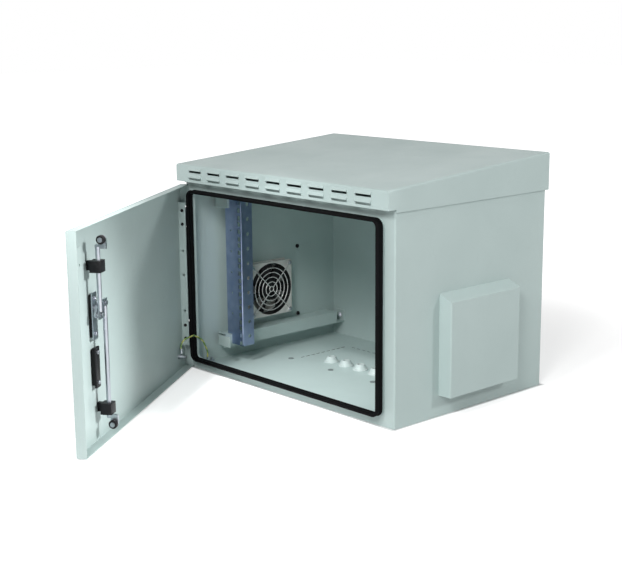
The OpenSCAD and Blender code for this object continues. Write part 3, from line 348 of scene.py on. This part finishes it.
def earth_insulation():
    """Green insulation with a yellow stripe that follows the wire, read from its own UV map."""
    turns = 5.0
    mat, tree, shader, vector = finish_base("earth_insulation", Roughness=0.35)
    along = add(tree, "ShaderNodeUVMap", uv_map="wire_uv")
    parts = add(tree, "ShaderNodeSeparateXYZ", {}, {"Vector": along.outputs["UV"]}).outputs
    wound = maths(tree, "ADD", parts["X"], maths(tree, "MULTIPLY", parts["Y"], turns))
    mask = ranged(tree, maths(tree, "PINGPONG", wound, 0.5), From_Min=0.24, From_Max=0.28)
    coat = placed(tree, COAT_GRAIN, vector, Grain_Scale=900)
    tone = two_tone(tree, mask, (0.15, 0.29, 0.08), (0.60, 0.60, 0.18))
    tone = darkened(tree, tone, coat.outputs["Mottle"], (0.05, 0.12, 0.02), 0.15)
    tree.links.new(tone, shader.inputs["Base Color"])
    bumped(tree, shader, coat.outputs["Height"], 0.00003)
    return mat


CAST_METAL = fan_casting()
SLOT_SHADED_COAT = slot_shaded_coat()
FILTER_FIBRE = filter_fibre()
EARTH_INSULATION = earth_insulation()

FINISH_OF_SLOT = {
    "paint_grey": GREY_COAT, "zinc": BLUE_ZINC, "black_plastic": BLACK_MOULDING,
    "rubber_black": SEAL_RUBBER, "cast_aluminium": CAST_METAL, "filter_fibre": FILTER_FIBRE,
    "grommet_grey": SOFT_GREY, "earth_insulation": EARTH_INSULATION, "chrome": BRIGHT_WIRE}
ROD_NODES = (
    "upper_rod", "lower_rod", "spindle", "lock_cam", "cam_nut", "lever_pin", "handle_clamp_upper",
    "handle_screws", "filter_screws", "fan_screws", "earth_terminal_body", "earth_terminal_door",
    "roof_bolts", "wall_spacers", "hinge_body_lower", "hinge_body_upper", "hinge_door_lower",
    "hinge_door_upper")
OWN_FINISH = {**dict.fromkeys(ROD_NODES, ROD_ZINC), "floor_plugs": PLUG_GREY,
              "floor_panel": SLOT_SHADED_COAT}
SLOT_OF = {s["node"]: s["material_slot"] for s in frame["record"]["subparts"]}
for node_name, node_object in nodes.items():
    finish = OWN_FINISH.get(node_name, FINISH_OF_SLOT[SLOT_OF[node_name]])
    if not node_object.material_slots:
        node_object.data.materials.append(finish)
    for place in node_object.material_slots:
        place.material = finish


# making pieces

def piece(name, mesh, body, finish, place=STILL, replaced=(), smooth=35):
    """Object at the origin with its place in its mesh, riding on a body."""
    mesh.transform(place)
    mesh.name = name
    mesh.materials.clear()
    mesh.materials.append(finish)
    mesh.polygons.foreach_set("use_smooth", [True] * len(mesh.polygons))
    mesh.set_sharp_from_angle(angle=math.radians(smooth))
    obj = linked(name, mesh)
    if body:
        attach(obj, body)
    if replaced:
        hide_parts(*replaced)
    return obj


def plain_mesh(bm, name):
    mesh = bpy.data.meshes.new(name)
    bm.to_mesh(mesh)
    bm.free()
    return mesh


def mesh_from(bm, name):
    bmesh.ops.recalc_face_normals(bm, faces=bm.faces)
    return plain_mesh(bm, name)


def applied(obj):
    """The evaluated mesh of an object with modifiers, which is then removed."""
    bpy.context.view_layer.update()
    graph = bpy.context.evaluated_depsgraph_get()
    mesh = bpy.data.meshes.new_from_object(obj.evaluated_get(graph), depsgraph=graph)
    bpy.data.objects.remove(obj)
    return mesh


def skin(bm, one, two):
    """Faces between two closed rings of vertices."""
    for k in range(len(one)):
        n = (k + 1) % len(one)
        bm.faces.new((one[k], two[k], two[n], one[n]))


def spun(profile, name, steps=40):
    """Closed profile of (radius, height) turned about Z."""
    bm = bmesh.new()
    rings = []
    for k in range(steps):
        a = 2 * math.pi * k / steps
        rings.append([bm.verts.new((r * math.cos(a), r * math.sin(a), h)) for r, h in profile])
    for k in range(steps):
        skin(bm, rings[k], rings[(k + 1) % steps])
    bmesh.ops.remove_doubles(bm, verts=bm.verts, dist=1e-7)
    bmesh.ops.dissolve_degenerate(bm, dist=1e-7, edges=bm.edges)
    return mesh_from(bm, name)


# earth lead between the door and the cabinet

def smooth_line(points, steps):
    """Curve through all the points, with so many steps between two of them."""
    line = []
    for k in range(len(points) - 1):
        a, b = points[max(k - 1, 0)], points[k]
        c, d = points[k + 1], points[min(k + 2, len(points) - 1)]
        for s in range(steps):
            t = s / steps
            line.append(0.5 * (2 * b + (c - a) * t + (2 * a - 5 * b + 4 * c - d) * t * t
                               + (3 * b - a - 3 * c + d) * t ** 3))
    line.append(points[-1])
    return line


def earth_lead():
    """Wire from the floor's stud over the lip to the door's stud; its UV runs along it."""
    steps, sides, radius, uv_length = 7, 14, 1.7 * MM, 0.1
    stand = [DOOR @ (Vector(p) * MM) for p in ((-250, -221.3, 45), (-250, -221.3, 52),
                                              (-250, -221.3, 59), (-252, -214.3, 70))]
    over = Vector((-263, -221.5, 73)) * MM
    bridge = (DOOR @ (Vector((-256, -203.3, 76)) * MM) + over) / 2 + Vector((0, 0, MM))
    down = [Vector(p) * MM for p in ((-263, -204.5, 61), (-264, -195.5, 46), (-266, -189, 33),
                                     (-266, -189, 23), (-266, -189, 13))]
    line = smooth_line([*stand, bridge, over, *down][::-1], steps)
    reach = [0.0]
    for a, b in zip(line, line[1:]):
        reach.append(reach[-1] + (b - a).length)
    bm = bmesh.new()
    uv = bm.loops.layers.uv.new("wire_uv")
    turns = [2 * math.pi * j / sides for j in range(sides)]
    rings = []
    side = Vector((1, 0.2, 0))
    for k, p in enumerate(line):
        ahead = (line[min(k + 1, len(line) - 1)] - line[max(k - 1, 0)]).normalized()
        side = (side - ahead * side.dot(ahead)).normalized()
        other = ahead.cross(side)
        rings.append([bm.verts.new(p + radius * (math.cos(a) * side + math.sin(a) * other))
                      for a in turns])
    for k in range(len(line) - 1):
        for j in range(sides):
            n = (j + 1) % sides
            face = bm.faces.new((rings[k][j], rings[k][n], rings[k + 1][n], rings[k + 1][j]))
            corners = ((j, k), (j + 1, k), (j + 1, k + 1), (j, k + 1))
            for loop, (u, v) in zip(face.loops, corners):
                loop[uv].uv = (u / sides, reach[v] / uv_length)
    bm.faces.new(rings[0][::-1])
    bm.faces.new(rings[-1])
    lead = piece("earth_lead", mesh_from(bm, "earth_lead"), None, EARTH_INSULATION,
                 replaced=("earth_wire",), smooth=60)
    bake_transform(lead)


earth_lead()


# rubber seal: bulb and channel swept round the lip of the door opening

def door_seal():
    half_w, half_h, corner, middle = 273 * MM, 176.5 * MM, 12.75 * MM, 198.75 * MM
    front, back = -227.8 * MM, -213.5 * MM
    bulb_r, bulb_start, bulb_sweep, bulb_steps = 3.45 * MM, -215, 250, 12
    corner_steps = 9
    channel = ((-3.4, 0.0), (-3.45, 1.0), (-2.7, 2.0), (-2.75, 5.6), (-2.2, 6.6))
    profile = [(n * MM, back - d * MM) for n, d in channel]
    for k in range(bulb_steps + 1):
        a = math.radians(bulb_start + bulb_sweep * k / bulb_steps)
        profile.append((bulb_r * math.cos(a), front + bulb_r + bulb_r * math.sin(a)))
    profile += [(-n, y) for n, y in reversed(profile[:len(channel)])]
    path = []
    for cx, cz, start in ((1, 1, 0), (-1, 1, 90), (-1, -1, 180), (1, -1, 270)):
        centre = Vector((cx * (half_w - corner), 0, middle + cz * (half_h - corner)))
        for k in range(corner_steps + 1):
            a = math.radians(start + 90 * k / corner_steps)
            out = Vector((math.cos(a), 0, math.sin(a)))
            path.append((centre + corner * out, out))
    bm = bmesh.new()
    rings = [[bm.verts.new(p + out * n + Vector((0, y, 0))) for n, y in profile] for p, out in path]
    for k in range(len(rings)):
        skin(bm, rings[k], rings[(k + 1) % len(rings)])
    piece("door_seal", mesh_from(bm, "door_seal"), "cabinet", SEAL_RUBBER,
          replaced=("door_gasket",))


door_seal()


# geometry node trees for what repeats

def node_tree(name, inputs):
    """Tree with a geometry and the named inputs, and a material for what it makes."""
    tree = bpy.data.node_groups.new(name, "GeometryNodeTree")
    keys = {}
    for label, kind in (("Geometry", "Geometry"), *inputs, ("Material", "Material")):
        socket = tree.interface.new_socket(label, in_out="INPUT", socket_type="NodeSocket" + kind)
        keys[label] = socket.identifier
    tree.interface.new_socket("Geometry", in_out="OUTPUT", socket_type="NodeSocketGeometry")
    return tree, tree.nodes.new("NodeGroupInput"), tree.nodes.new("NodeGroupOutput"), keys


def realized(tree, geometry):
    return add(tree, "GeometryNodeRealizeInstances", {},
               {"Geometry": geometry}).outputs["Geometry"]


def joined(tree, *parts):
    both = add(tree, "GeometryNodeJoinGeometry")
    for part in parts:
        tree.links.new(part, both.inputs["Geometry"])
    return both.outputs["Geometry"]


def put_out(tree, i, o, geometry):
    """Ends a tree: the geometry in one piece, in its material."""
    done = add(tree, "GeometryNodeSetMaterial", {}, {"Geometry": realized(tree, geometry),
                                                     "Material": i.outputs["Material"]})
    tree.links.new(done.outputs["Geometry"], o.inputs["Geometry"])


def grown(name, mesh, tree, keys, **values):
    """Mesh made by a tree from a mesh of points, with the named inputs."""
    obj = linked(name, mesh)
    grow = obj.modifiers.new("grow", "NODES")
    grow.node_group = tree
    for label, value in values.items():
        grow[keys[label.replace("_", " ")]] = value
    return applied(obj)


def copies_tree():
    """Copies of one shape on points; each point has an axis to face along and a size."""
    tree, i, o, keys = node_tree("facing_copies", [("Shape", "Object"), ("Size", "Float")])
    axis = add(tree, "GeometryNodeInputNamedAttribute", {"Name": "axis"}, data_type="FLOAT_VECTOR")
    own = add(tree, "GeometryNodeInputNamedAttribute", {"Name": "size"}, data_type="FLOAT")
    face = add(tree, "FunctionNodeAlignRotationToVector", {},
               {"Vector": axis.outputs["Attribute"]}, axis="Z")
    shape = add(tree, "GeometryNodeObjectInfo", {}, {"Object": i.outputs["Shape"]})
    copied = add(tree, "GeometryNodeInstanceOnPoints", {},
                 {"Points": i.outputs["Geometry"], "Instance": shape.outputs["Geometry"],
                  "Rotation": face.outputs["Rotation"],
                  "Scale": maths(tree, "MULTIPLY", own.outputs["Attribute"], i.outputs["Size"])})
    put_out(tree, i, o, copied.outputs["Instances"])
    return tree, keys


COPIES, COPIES_KEYS = copies_tree()


def points_mesh(name, places):
    """Loose points with the axis and size that the copies read; places are in millimetres."""
    mesh = bpy.data.meshes.new(name)
    mesh.from_pydata([Vector(p) * MM for p, axis, size in places], [], [])
    axis = mesh.attributes.new("axis", "FLOAT_VECTOR", "POINT")
    axis.data.foreach_set("vector", [c for p, a, s in places for c in a])
    size = mesh.attributes.new("size", "FLOAT", "POINT")
    size.data.foreach_set("value", [s for p, a, s in places])
    return mesh


def copies(name, shape_mesh, places, body, finish, place=STILL, replaced=(), smooth=35):
    shape = linked(name + "_shape", shape_mesh)
    mesh = grown(name, points_mesh(name, places), COPIES, COPIES_KEYS, Shape=shape, Size=MM,
                 Material=finish)
    bpy.data.objects.remove(shape)
    return piece(name, mesh, body, finish, place, replaced, smooth)


def cross_head():
    """Domed screw head of radius 1 with a cross recess; its seat is at height 0."""
    sides, height = 24, 0.26
    arm, reach_out, depth, taper = 0.11, 0.46, 0.2, 0.8
    bm = bmesh.new()
    turns = [2 * math.pi * k / sides for k in range(sides)]
    rings = []
    for r, h in ((1.0, 0.0), (0.97, 0.35), (0.86, 0.72), (0.68, 1.0)):
        rings.append([bm.verts.new((r * math.cos(a), r * math.sin(a), h * height)) for a in turns])
    for low, high in zip(rings, rings[1:]):
        skin(bm, low, high)
    plan = []
    for q in range(4):
        turn = Matrix.Rotation(q * math.pi / 2, 2)
        plan += [turn @ Vector(p) for p in ((arm, arm), (reach_out, arm), (reach_out, -arm))]
    plan = sorted(plan, key=lambda p: math.atan2(p.y, p.x))
    rim = [bm.verts.new((p.x, p.y, height)) for p in plan]
    foot = [bm.verts.new((p.x * taper, p.y * taper, height - depth)) for p in plan]
    skin(bm, rim, foot)
    edges = [bm.edges.get((ring[k], ring[(k + 1) % len(ring)])) for ring in (rim, rings[-1])
             for k in range(len(ring))]
    bmesh.ops.triangle_fill(bm, use_beauty=True, use_dissolve=False, edges=edges)
    bm.faces.new(foot)
    bm.faces.new(rings[0][::-1])
    return mesh_from(bm, "cross_head")


def screw_heads():
    right, left, inward = (1, 0, 0), (-1, 0, 0), (0, 1, 0)
    walls = ((-1, right), (1, left))
    rail = [((s * 257, -112, z), axis, 5.5) for s, axis in walls for z in (49, 342.15)]
    fan = [((-269.5, FAN_Y + y, FAN_Z + z), right, 3.8)
           for y in (-FAN_BOLT, FAN_BOLT) for z in (-FAN_BOLT, FAN_BOLT)]
    hood = [((s * 296.1, y, z), axis, 4.2)
            for s, axis in walls for y in (-84, 94) for z in (65, 219)]
    strip = [((-278.6, -220.5, z + d), right, 3.2) for z in (80, 321) for d in (-14, 14)]
    clamp = [((210, DOOR_IN + d, z), inward, 3.6)
             for z, d in ((197, 10.2), (258, 10.2), (111, 11.2), (164, 11.2))]
    for name, places, body, finish, slot, place in (
            ("rail_screw_heads", rail, "cabinet", BLUE_ZINC, "zinc", STILL),
            ("wall_screw_heads", fan, "cabinet", ROD_ZINC, "zinc", STILL),
            ("hood_screw_heads", hood, "cabinet", BLACK_MOULDING, "black_plastic", STILL),
            ("strip_screw_heads", strip, "door", BLACK_MOULDING, "black_plastic", DOOR),
            ("clamp_screw_heads", clamp, "door", ROD_ZINC, "zinc", DOOR)):
        copies(name, cross_head(), places, body, finish, place)


screw_heads()


def cable_glands():
    """Soft stepped grommets in the floor, one profile on a row of points."""
    bore, neck, rim, pitch, row_y = 6, 13.9, 16, 44, 23
    profile = [(bore, 0.3), (neck, 0.3), (neck, 1.55), (rim, 1.55), (rim, 3.2), (15.6, 3.9),
               (14.8, 4.2), (13.9, 4.3), (13.3, 4.8), (12.6, 7.0), (12.2, 7.5), (11.7, 7.7),
               (11.2, 9.9), (10.8, 10.4), (10.2, 10.6), (9.7, 12.5), (9.2, 13.2), (8.4, 13.5),
               (7.0, 13.5), (bore, 13.1)]
    row = [((k * pitch, row_y, 0), (0, 0, 1), 1) for k in (-2.5, -1.5, -0.5, 0.5, 1.5, 2.5)]
    copies("cable_glands", spun(profile, "gland"), row, "cabinet", SOFT_GREY,
           replaced=("cable_grommets",), smooth=40)


cable_glands()


def wire_guard_tree():
    """Wire rings at even steps and bent spokes; the spokes are the edges that come in."""
    tree, i, o, keys = node_tree("wire_guard", [("Wire Radius", "Float"), ("First Ring", "Float"),
                                                ("Ring Step", "Float"), ("Rings", "Int"),
                                                ("Ring Height", "Float")])
    wire = add(tree, "GeometryNodeCurvePrimitiveCircle", {"Resolution": 10},
               {"Radius": i.outputs["Wire Radius"]})
    centre = add(tree, "ShaderNodeCombineXYZ", {}, {"Z": i.outputs["Ring Height"]})
    seeds = add(tree, "GeometryNodePoints", {}, {"Count": i.outputs["Rings"],
                                                 "Position": centre.outputs["Vector"]})
    index = add(tree, "GeometryNodeInputIndex").outputs[0]
    steps = maths(tree, "MULTIPLY", index, i.outputs["Ring Step"])
    unit = add(tree, "GeometryNodeCurvePrimitiveCircle", {"Resolution": 64, "Radius": 1.0})
    rings = add(tree, "GeometryNodeInstanceOnPoints", {},
                {"Points": seeds.outputs[0], "Instance": unit.outputs["Curve"],
                 "Scale": maths(tree, "ADD", steps, i.outputs["First Ring"])})
    ring_tubes = add(tree, "GeometryNodeCurveToMesh", {},
                     {"Curve": realized(tree, rings.outputs["Instances"]),
                      "Profile Curve": wire.outputs["Curve"]})
    lines = add(tree, "GeometryNodeMeshToCurve", {}, {"Mesh": i.outputs["Geometry"]})
    spokes = add(tree, "GeometryNodeCurveToMesh", {"Fill Caps": True},
                 {"Curve": lines.outputs["Curve"], "Profile Curve": wire.outputs["Curve"]})
    put_out(tree, i, o, joined(tree, ring_tubes.outputs["Mesh"], spokes.outputs["Mesh"]))
    return tree, keys


def wire_guard():
    bolt = FAN_BOLT * math.sqrt(2) * MM
    wire, first, step, count = 1.0 * MM, 5.6 * MM, 10.3 * MM, 5
    eye, eye_sweep, eye_steps = 4.6 * MM, 330, 12
    eye_lift, ring_lift = 0.02 * MM, 0.1 * MM
    bends = ((first, 2.7), (bolt - 14 * MM, 2.7), (bolt - 10 * MM, 2.2), (bolt - 7 * MM, 1.2))
    bm = bmesh.new()
    for q in range(4):
        a = math.radians(45 + 90 * q)
        out, side = Vector((math.cos(a), math.sin(a), 0)), Vector((-math.sin(a), math.cos(a), 0))
        line = [out * r + Vector((0, 0, h * MM)) for r, h in bends]
        for k in range(eye_steps + 1):
            t = math.radians(180 + eye_sweep * k / eye_steps)
            line.append(out * (bolt + eye * math.cos(t)) + side * eye * math.sin(t)
                        + Vector((0, 0, wire + eye_lift)))
        chain = [bm.verts.new(p) for p in line]
        for one, two in zip(chain, chain[1:]):
            bm.edges.new((one, two))
    tree, keys = wire_guard_tree()
    guard = grown("fan_guard_wires", plain_mesh(bm, "guard_spokes"), tree, keys, Wire_Radius=wire,
                  First_Ring=first, Ring_Step=step, Rings=count, Ring_Height=wire + ring_lift,
                  Material=BRIGHT_WIRE)
    piece("fan_guard_wires", guard, "cabinet", BRIGHT_WIRE,
          Matrix.Translation(FAN) @ FACE_RIGHT, ("fan_guard",), 60)


wire_guard()


def blade_mesh():
    """One swept and twisted blade in millimetres, standing along Y; the fan turns about Z."""
    sections, across = 9, 9
    root_r, tip_r, root_pitch, tip_pitch, root_chord, tip_chord = 23.2, 54.4, 50, 28, 19, 32
    thick, edge_share, camber, sweep, set_back = 1.5, 0.35, 2.0, 0.16, 1.0
    bm = bmesh.new()
    loops = []
    for k in range(sections):
        t = k / (sections - 1)
        r = root_r + (tip_r - root_r) * t
        pitch = math.radians(root_pitch + (tip_pitch - root_pitch) * t)
        chord = root_chord + (tip_chord - root_chord) * t
        lean = sweep * t * t
        loop = []
        for j in range(2 * across):
            s = j / (across - 1) if j < across else (2 * across - 1 - j) / (across - 1)
            side = 1 if j < across else -1
            bulge = 1 - (2 * s - 1) ** 2
            half = 0.5 * thick * (edge_share + (1 - edge_share) * math.sqrt(max(0.0, bulge)))
            u = (s - 0.5) * chord
            v = camber * bulge + side * half
            axial = u * math.sin(pitch) + v * math.cos(pitch)
            swing = (u * math.cos(pitch) - v * math.sin(pitch)) / r + lean
            loop.append(bm.verts.new((r * math.sin(swing), r * math.cos(swing), axial - set_back)))
        loops.append(loop)
    for one, two in zip(loops, loops[1:]):
        skin(bm, one, two)
    bm.faces.new(loops[0])
    bm.faces.new(loops[-1])
    return mesh_from(bm, "fan_blade")


def radial_tree():
    """A hub and copies of a blade spaced evenly about Z."""
    tree, i, o, keys = node_tree("blades_on_hub", [("Blade", "Object"), ("Blades", "Int")])
    seeds = add(tree, "GeometryNodePoints", {}, {"Count": i.outputs["Blades"]})
    index = add(tree, "GeometryNodeInputIndex").outputs[0]
    share = maths(tree, "DIVIDE", 2 * math.pi, i.outputs["Blades"])
    turn = add(tree, "ShaderNodeCombineXYZ", {}, {"Z": maths(tree, "MULTIPLY", index, share)})
    euler = add(tree, "FunctionNodeEulerToRotation", {}, {"Euler": turn.outputs["Vector"]})
    blade = add(tree, "GeometryNodeObjectInfo", {}, {"Object": i.outputs["Blade"]})
    ring = add(tree, "GeometryNodeInstanceOnPoints", {},
               {"Points": seeds.outputs[0], "Instance": blade.outputs["Geometry"],
                "Rotation": euler.outputs["Rotation"]})
    put_out(tree, i, o, joined(tree, ring.outputs["Instances"], i.outputs["Geometry"]))
    return tree, keys


def fan_blades():
    hub = spun([(2.1, -8.4), (21.6, -8.4), (23.9, -8.2), (24, -7.6), (24, 6.2), (23.4, 7.6),
                (22.2, 8.5), (16, 8.75), (15.4, 8.35), (9, 8.2), (8.4, 8.75), (2.1, 8.75)],
               "fan_hub", 48)
    blade = linked("fan_blade", blade_mesh())
    tree, keys = radial_tree()
    mesh = grown("fan_blades", hub, tree, keys, Blade=blade, Blades=7, Material=BLACK_MOULDING)
    bpy.data.objects.remove(blade)
    middle = Vector((-285.25, FAN_Y, FAN_Z)) * MM
    place = Matrix.Translation(middle) @ FACE_RIGHT @ Matrix.Scale(MM, 4)
    piece("fan_blades", mesh, "impeller", BLACK_MOULDING, place,
          ("fan_impeller",), 40)


fan_blades()


# pieces whose moulded, filed or folded edges are rounded

def bare_copy(node):
    """The CAD node's surface, with its flat faces in one piece."""
    source = nodes[node].data
    bm = bmesh.new()
    verts = [bm.verts.new(v.co) for v in source.vertices]
    for p in source.polygons:
        try:
            bm.faces.new([verts[k] for k in p.vertices])
        except ValueError:
            continue
    bmesh.ops.remove_doubles(bm, verts=bm.verts, dist=3e-6)
    bmesh.ops.dissolve_limit(bm, angle_limit=math.radians(1), verts=bm.verts, edges=bm.edges)
    return bm


def soften(node, name, body, finish, width, segments=2):
    """The node with its sharp edges rounded."""
    obj = linked(name, plain_mesh(bare_copy(node), name))
    edge = obj.modifiers.new("edge", "BEVEL")
    edge.width = width * MM
    edge.segments = segments
    edge.limit_method = "ANGLE"
    edge.angle_limit = math.radians(40)
    piece(name, applied(obj), body, finish, replaced=(node,), smooth=40)


for node_name, name, body, width, segments in (
        ("handle_lever", "lever_grip", "lever", 1.6, 3),
        ("handle_base", "handle_dish", "door", 1.2, 3),
        ("handle_clamp_lower", "lower_clamp", "door", 0.6, 2),
        ("rod_guide_upper", "upper_guide_block", "door", 1.0, 2),
        ("rod_guide_lower", "lower_guide_block", "door", 1.0, 2),
        ("upper_roller", "upper_roller_tyre", "upper_roller", 0.8, 2),
        ("lower_roller", "lower_roller_tyre", "lower_roller", 0.8, 2)):
    soften(node_name, name, body, BLACK_MOULDING, width, segments)
soften("fan_frame", "fan_housing", "cabinet", CAST_METAL, 0.7)


def rolled_fold(node, name, body, finish, x, y, radius):
    """Folded sheet with the outer corner of its fold, at x and y, rounded."""
    bm = bare_copy(node)
    near = 0.02 * MM
    fold = [e for e in bm.edges
            if all(abs(v.co.x - x) < near and abs(v.co.y - y) < near for v in e.verts)]
    bmesh.ops.bevel(bm, geom=fold, offset=radius, segments=4, profile=0.5, affect="EDGES")
    piece(name, mesh_from(bm, name), body, finish, replaced=(node,), smooth=40)


RAIL_FOLD_X, RAIL_FOLD_Y, RAIL_FOLD_R = 225, -125, 2.2
for side, sign in (("left", -1), ("right", 1)):
    rolled_fold(side + "_rack_rail", side + "_punched_rail", "cabinet", BLUE_ZINC,
                sign * RAIL_FOLD_X * MM, RAIL_FOLD_Y * MM, RAIL_FOLD_R * MM)


# studio: pale floor, white surroundings, lamps; all in metres and watts

def seen_rays(tree):
    """1 for rays that show the background, 0 for the light that falls on the object."""
    path = add(tree, "ShaderNodeLightPath").outputs
    first = maths(tree, "MAXIMUM", path["Is Camera Ray"], path["Is Glossy Ray"])
    return maths(tree, "MAXIMUM", first, path["Is Transmission Ray"])


def pale_floor():
    """Matt floor that turns white away from the part, with no glow under the cabinet."""
    half, height = 14, -0.0005
    under_x, under_y = 0.305, 0.215
    mesh = bpy.data.meshes.new("studio_floor")
    mesh.from_pydata([(-half, -half, height), (half, -half, height), (half, half, height),
                      (-half, half, height)], [], [(0, 1, 2, 3)])
    mat = bpy.data.materials.new("studio_floor")
    mat.use_nodes = True
    tree = mat.node_tree
    tree.nodes.clear()
    place = add(tree, "ShaderNodeTexCoord").outputs["Object"]
    parts = add(tree, "ShaderNodeSeparateXYZ", {}, {"Vector": place}).outputs
    reach = add(tree, "ShaderNodeVectorMath", {}, {0: place}, operation="LENGTH")
    away = add(tree, "ShaderNodeMapRange",
               {"From Min": 0.45, "From Max": 1.5, "To Min": 0.50, "To Max": 1.0},
               {"Value": reach.outputs["Value"]}, interpolation_type="SMOOTHSTEP")
    past_x = maths(tree, "GREATER_THAN", maths(tree, "ABSOLUTE", parts["X"]), under_x)
    past_y = maths(tree, "GREATER_THAN", maths(tree, "ABSOLUTE", parts["Y"]), under_y)
    outside = maths(tree, "MAXIMUM", past_x, past_y)
    glow_level = maths(tree, "MULTIPLY", away.outputs["Result"], outside)
    shown = maths(tree, "MULTIPLY", glow_level, spread(tree, seen_rays(tree), 0.05, 1.0))
    matt = add(tree, "ShaderNodeBsdfDiffuse", {"Color": (0.88, 0.88, 0.88, 1)})
    glow = add(tree, "ShaderNodeEmission", {"Color": (1, 1, 1, 1)}, {"Strength": shown})
    both = add(tree, "ShaderNodeAddShader", {}, {0: matt.outputs[0], 1: glow.outputs[0]})
    add(tree, "ShaderNodeOutputMaterial", {}, {"Surface": both.outputs[0]})
    mesh.materials.append(mat)
    obj = linked("studio_floor", mesh)


def studio_world():
    world = bpy.data.worlds.new("studio")
    world.use_nodes = True
    tree = world.node_tree
    tree.nodes.clear()
    ambient = add(tree, "ShaderNodeBackground", {"Color": (1, 1, 1, 1), "Strength": 0.22})
    white = add(tree, "ShaderNodeBackground", {"Color": (1, 1, 1, 1), "Strength": 1.0})
    mix = add(tree, "ShaderNodeMixShader", {}, {0: seen_rays(tree), 1: ambient.outputs[0],
                                                2: white.outputs[0]})
    add(tree, "ShaderNodeOutputWorld", {}, {"Surface": mix.outputs[0]})
    scene.world = world


def lamp(name, kind, spot, aim, watts, **settings):
    data = bpy.data.lights.new(name, kind)
    data.energy = watts
    for key, value in settings.items():
        setattr(data, key, value)
    obj = linked(name, data)
    spot, aim = Vector(spot), Vector(aim)
    obj.location = spot
    obj.rotation_euler = (aim - spot).to_track_quat("-Z", "Y").to_euler()


def soft_light(name, spot, size, watts):
    """Round softbox that faces the middle of the cabinet."""
    cabinet_middle = (0, 0, 0.2)
    lamp(name, "AREA", spot, cabinet_middle, watts, shape="DISK", size=size)


def snooted_light(name, spot, aim, cone, watts):
    """Narrow lamp for one place, with a soft edge."""
    lamp(name, "SPOT", spot, aim, watts, spot_size=math.radians(cone), spot_blend=1.0,
         shadow_soft_size=0.06)


pale_floor()
studio_world()
soft_light("key_softbox", (1.50, -2.34, 1.80), 0.8, 35)
soft_light("front_softbox", (0.55, -2.35, 2.20), 0.8, 29)
soft_light("right_softbox", (2.30, 1.15, 1.55), 0.4, 18)
snooted_light("inside_lamp", (0.25, -1.30, 1.54), (-0.05, -0.05, -0.25), 20, 125)
snooted_light("door_lamp", (1.90, 0.55, 1.35), (0.03, -0.68, 0.15), 14, 218)
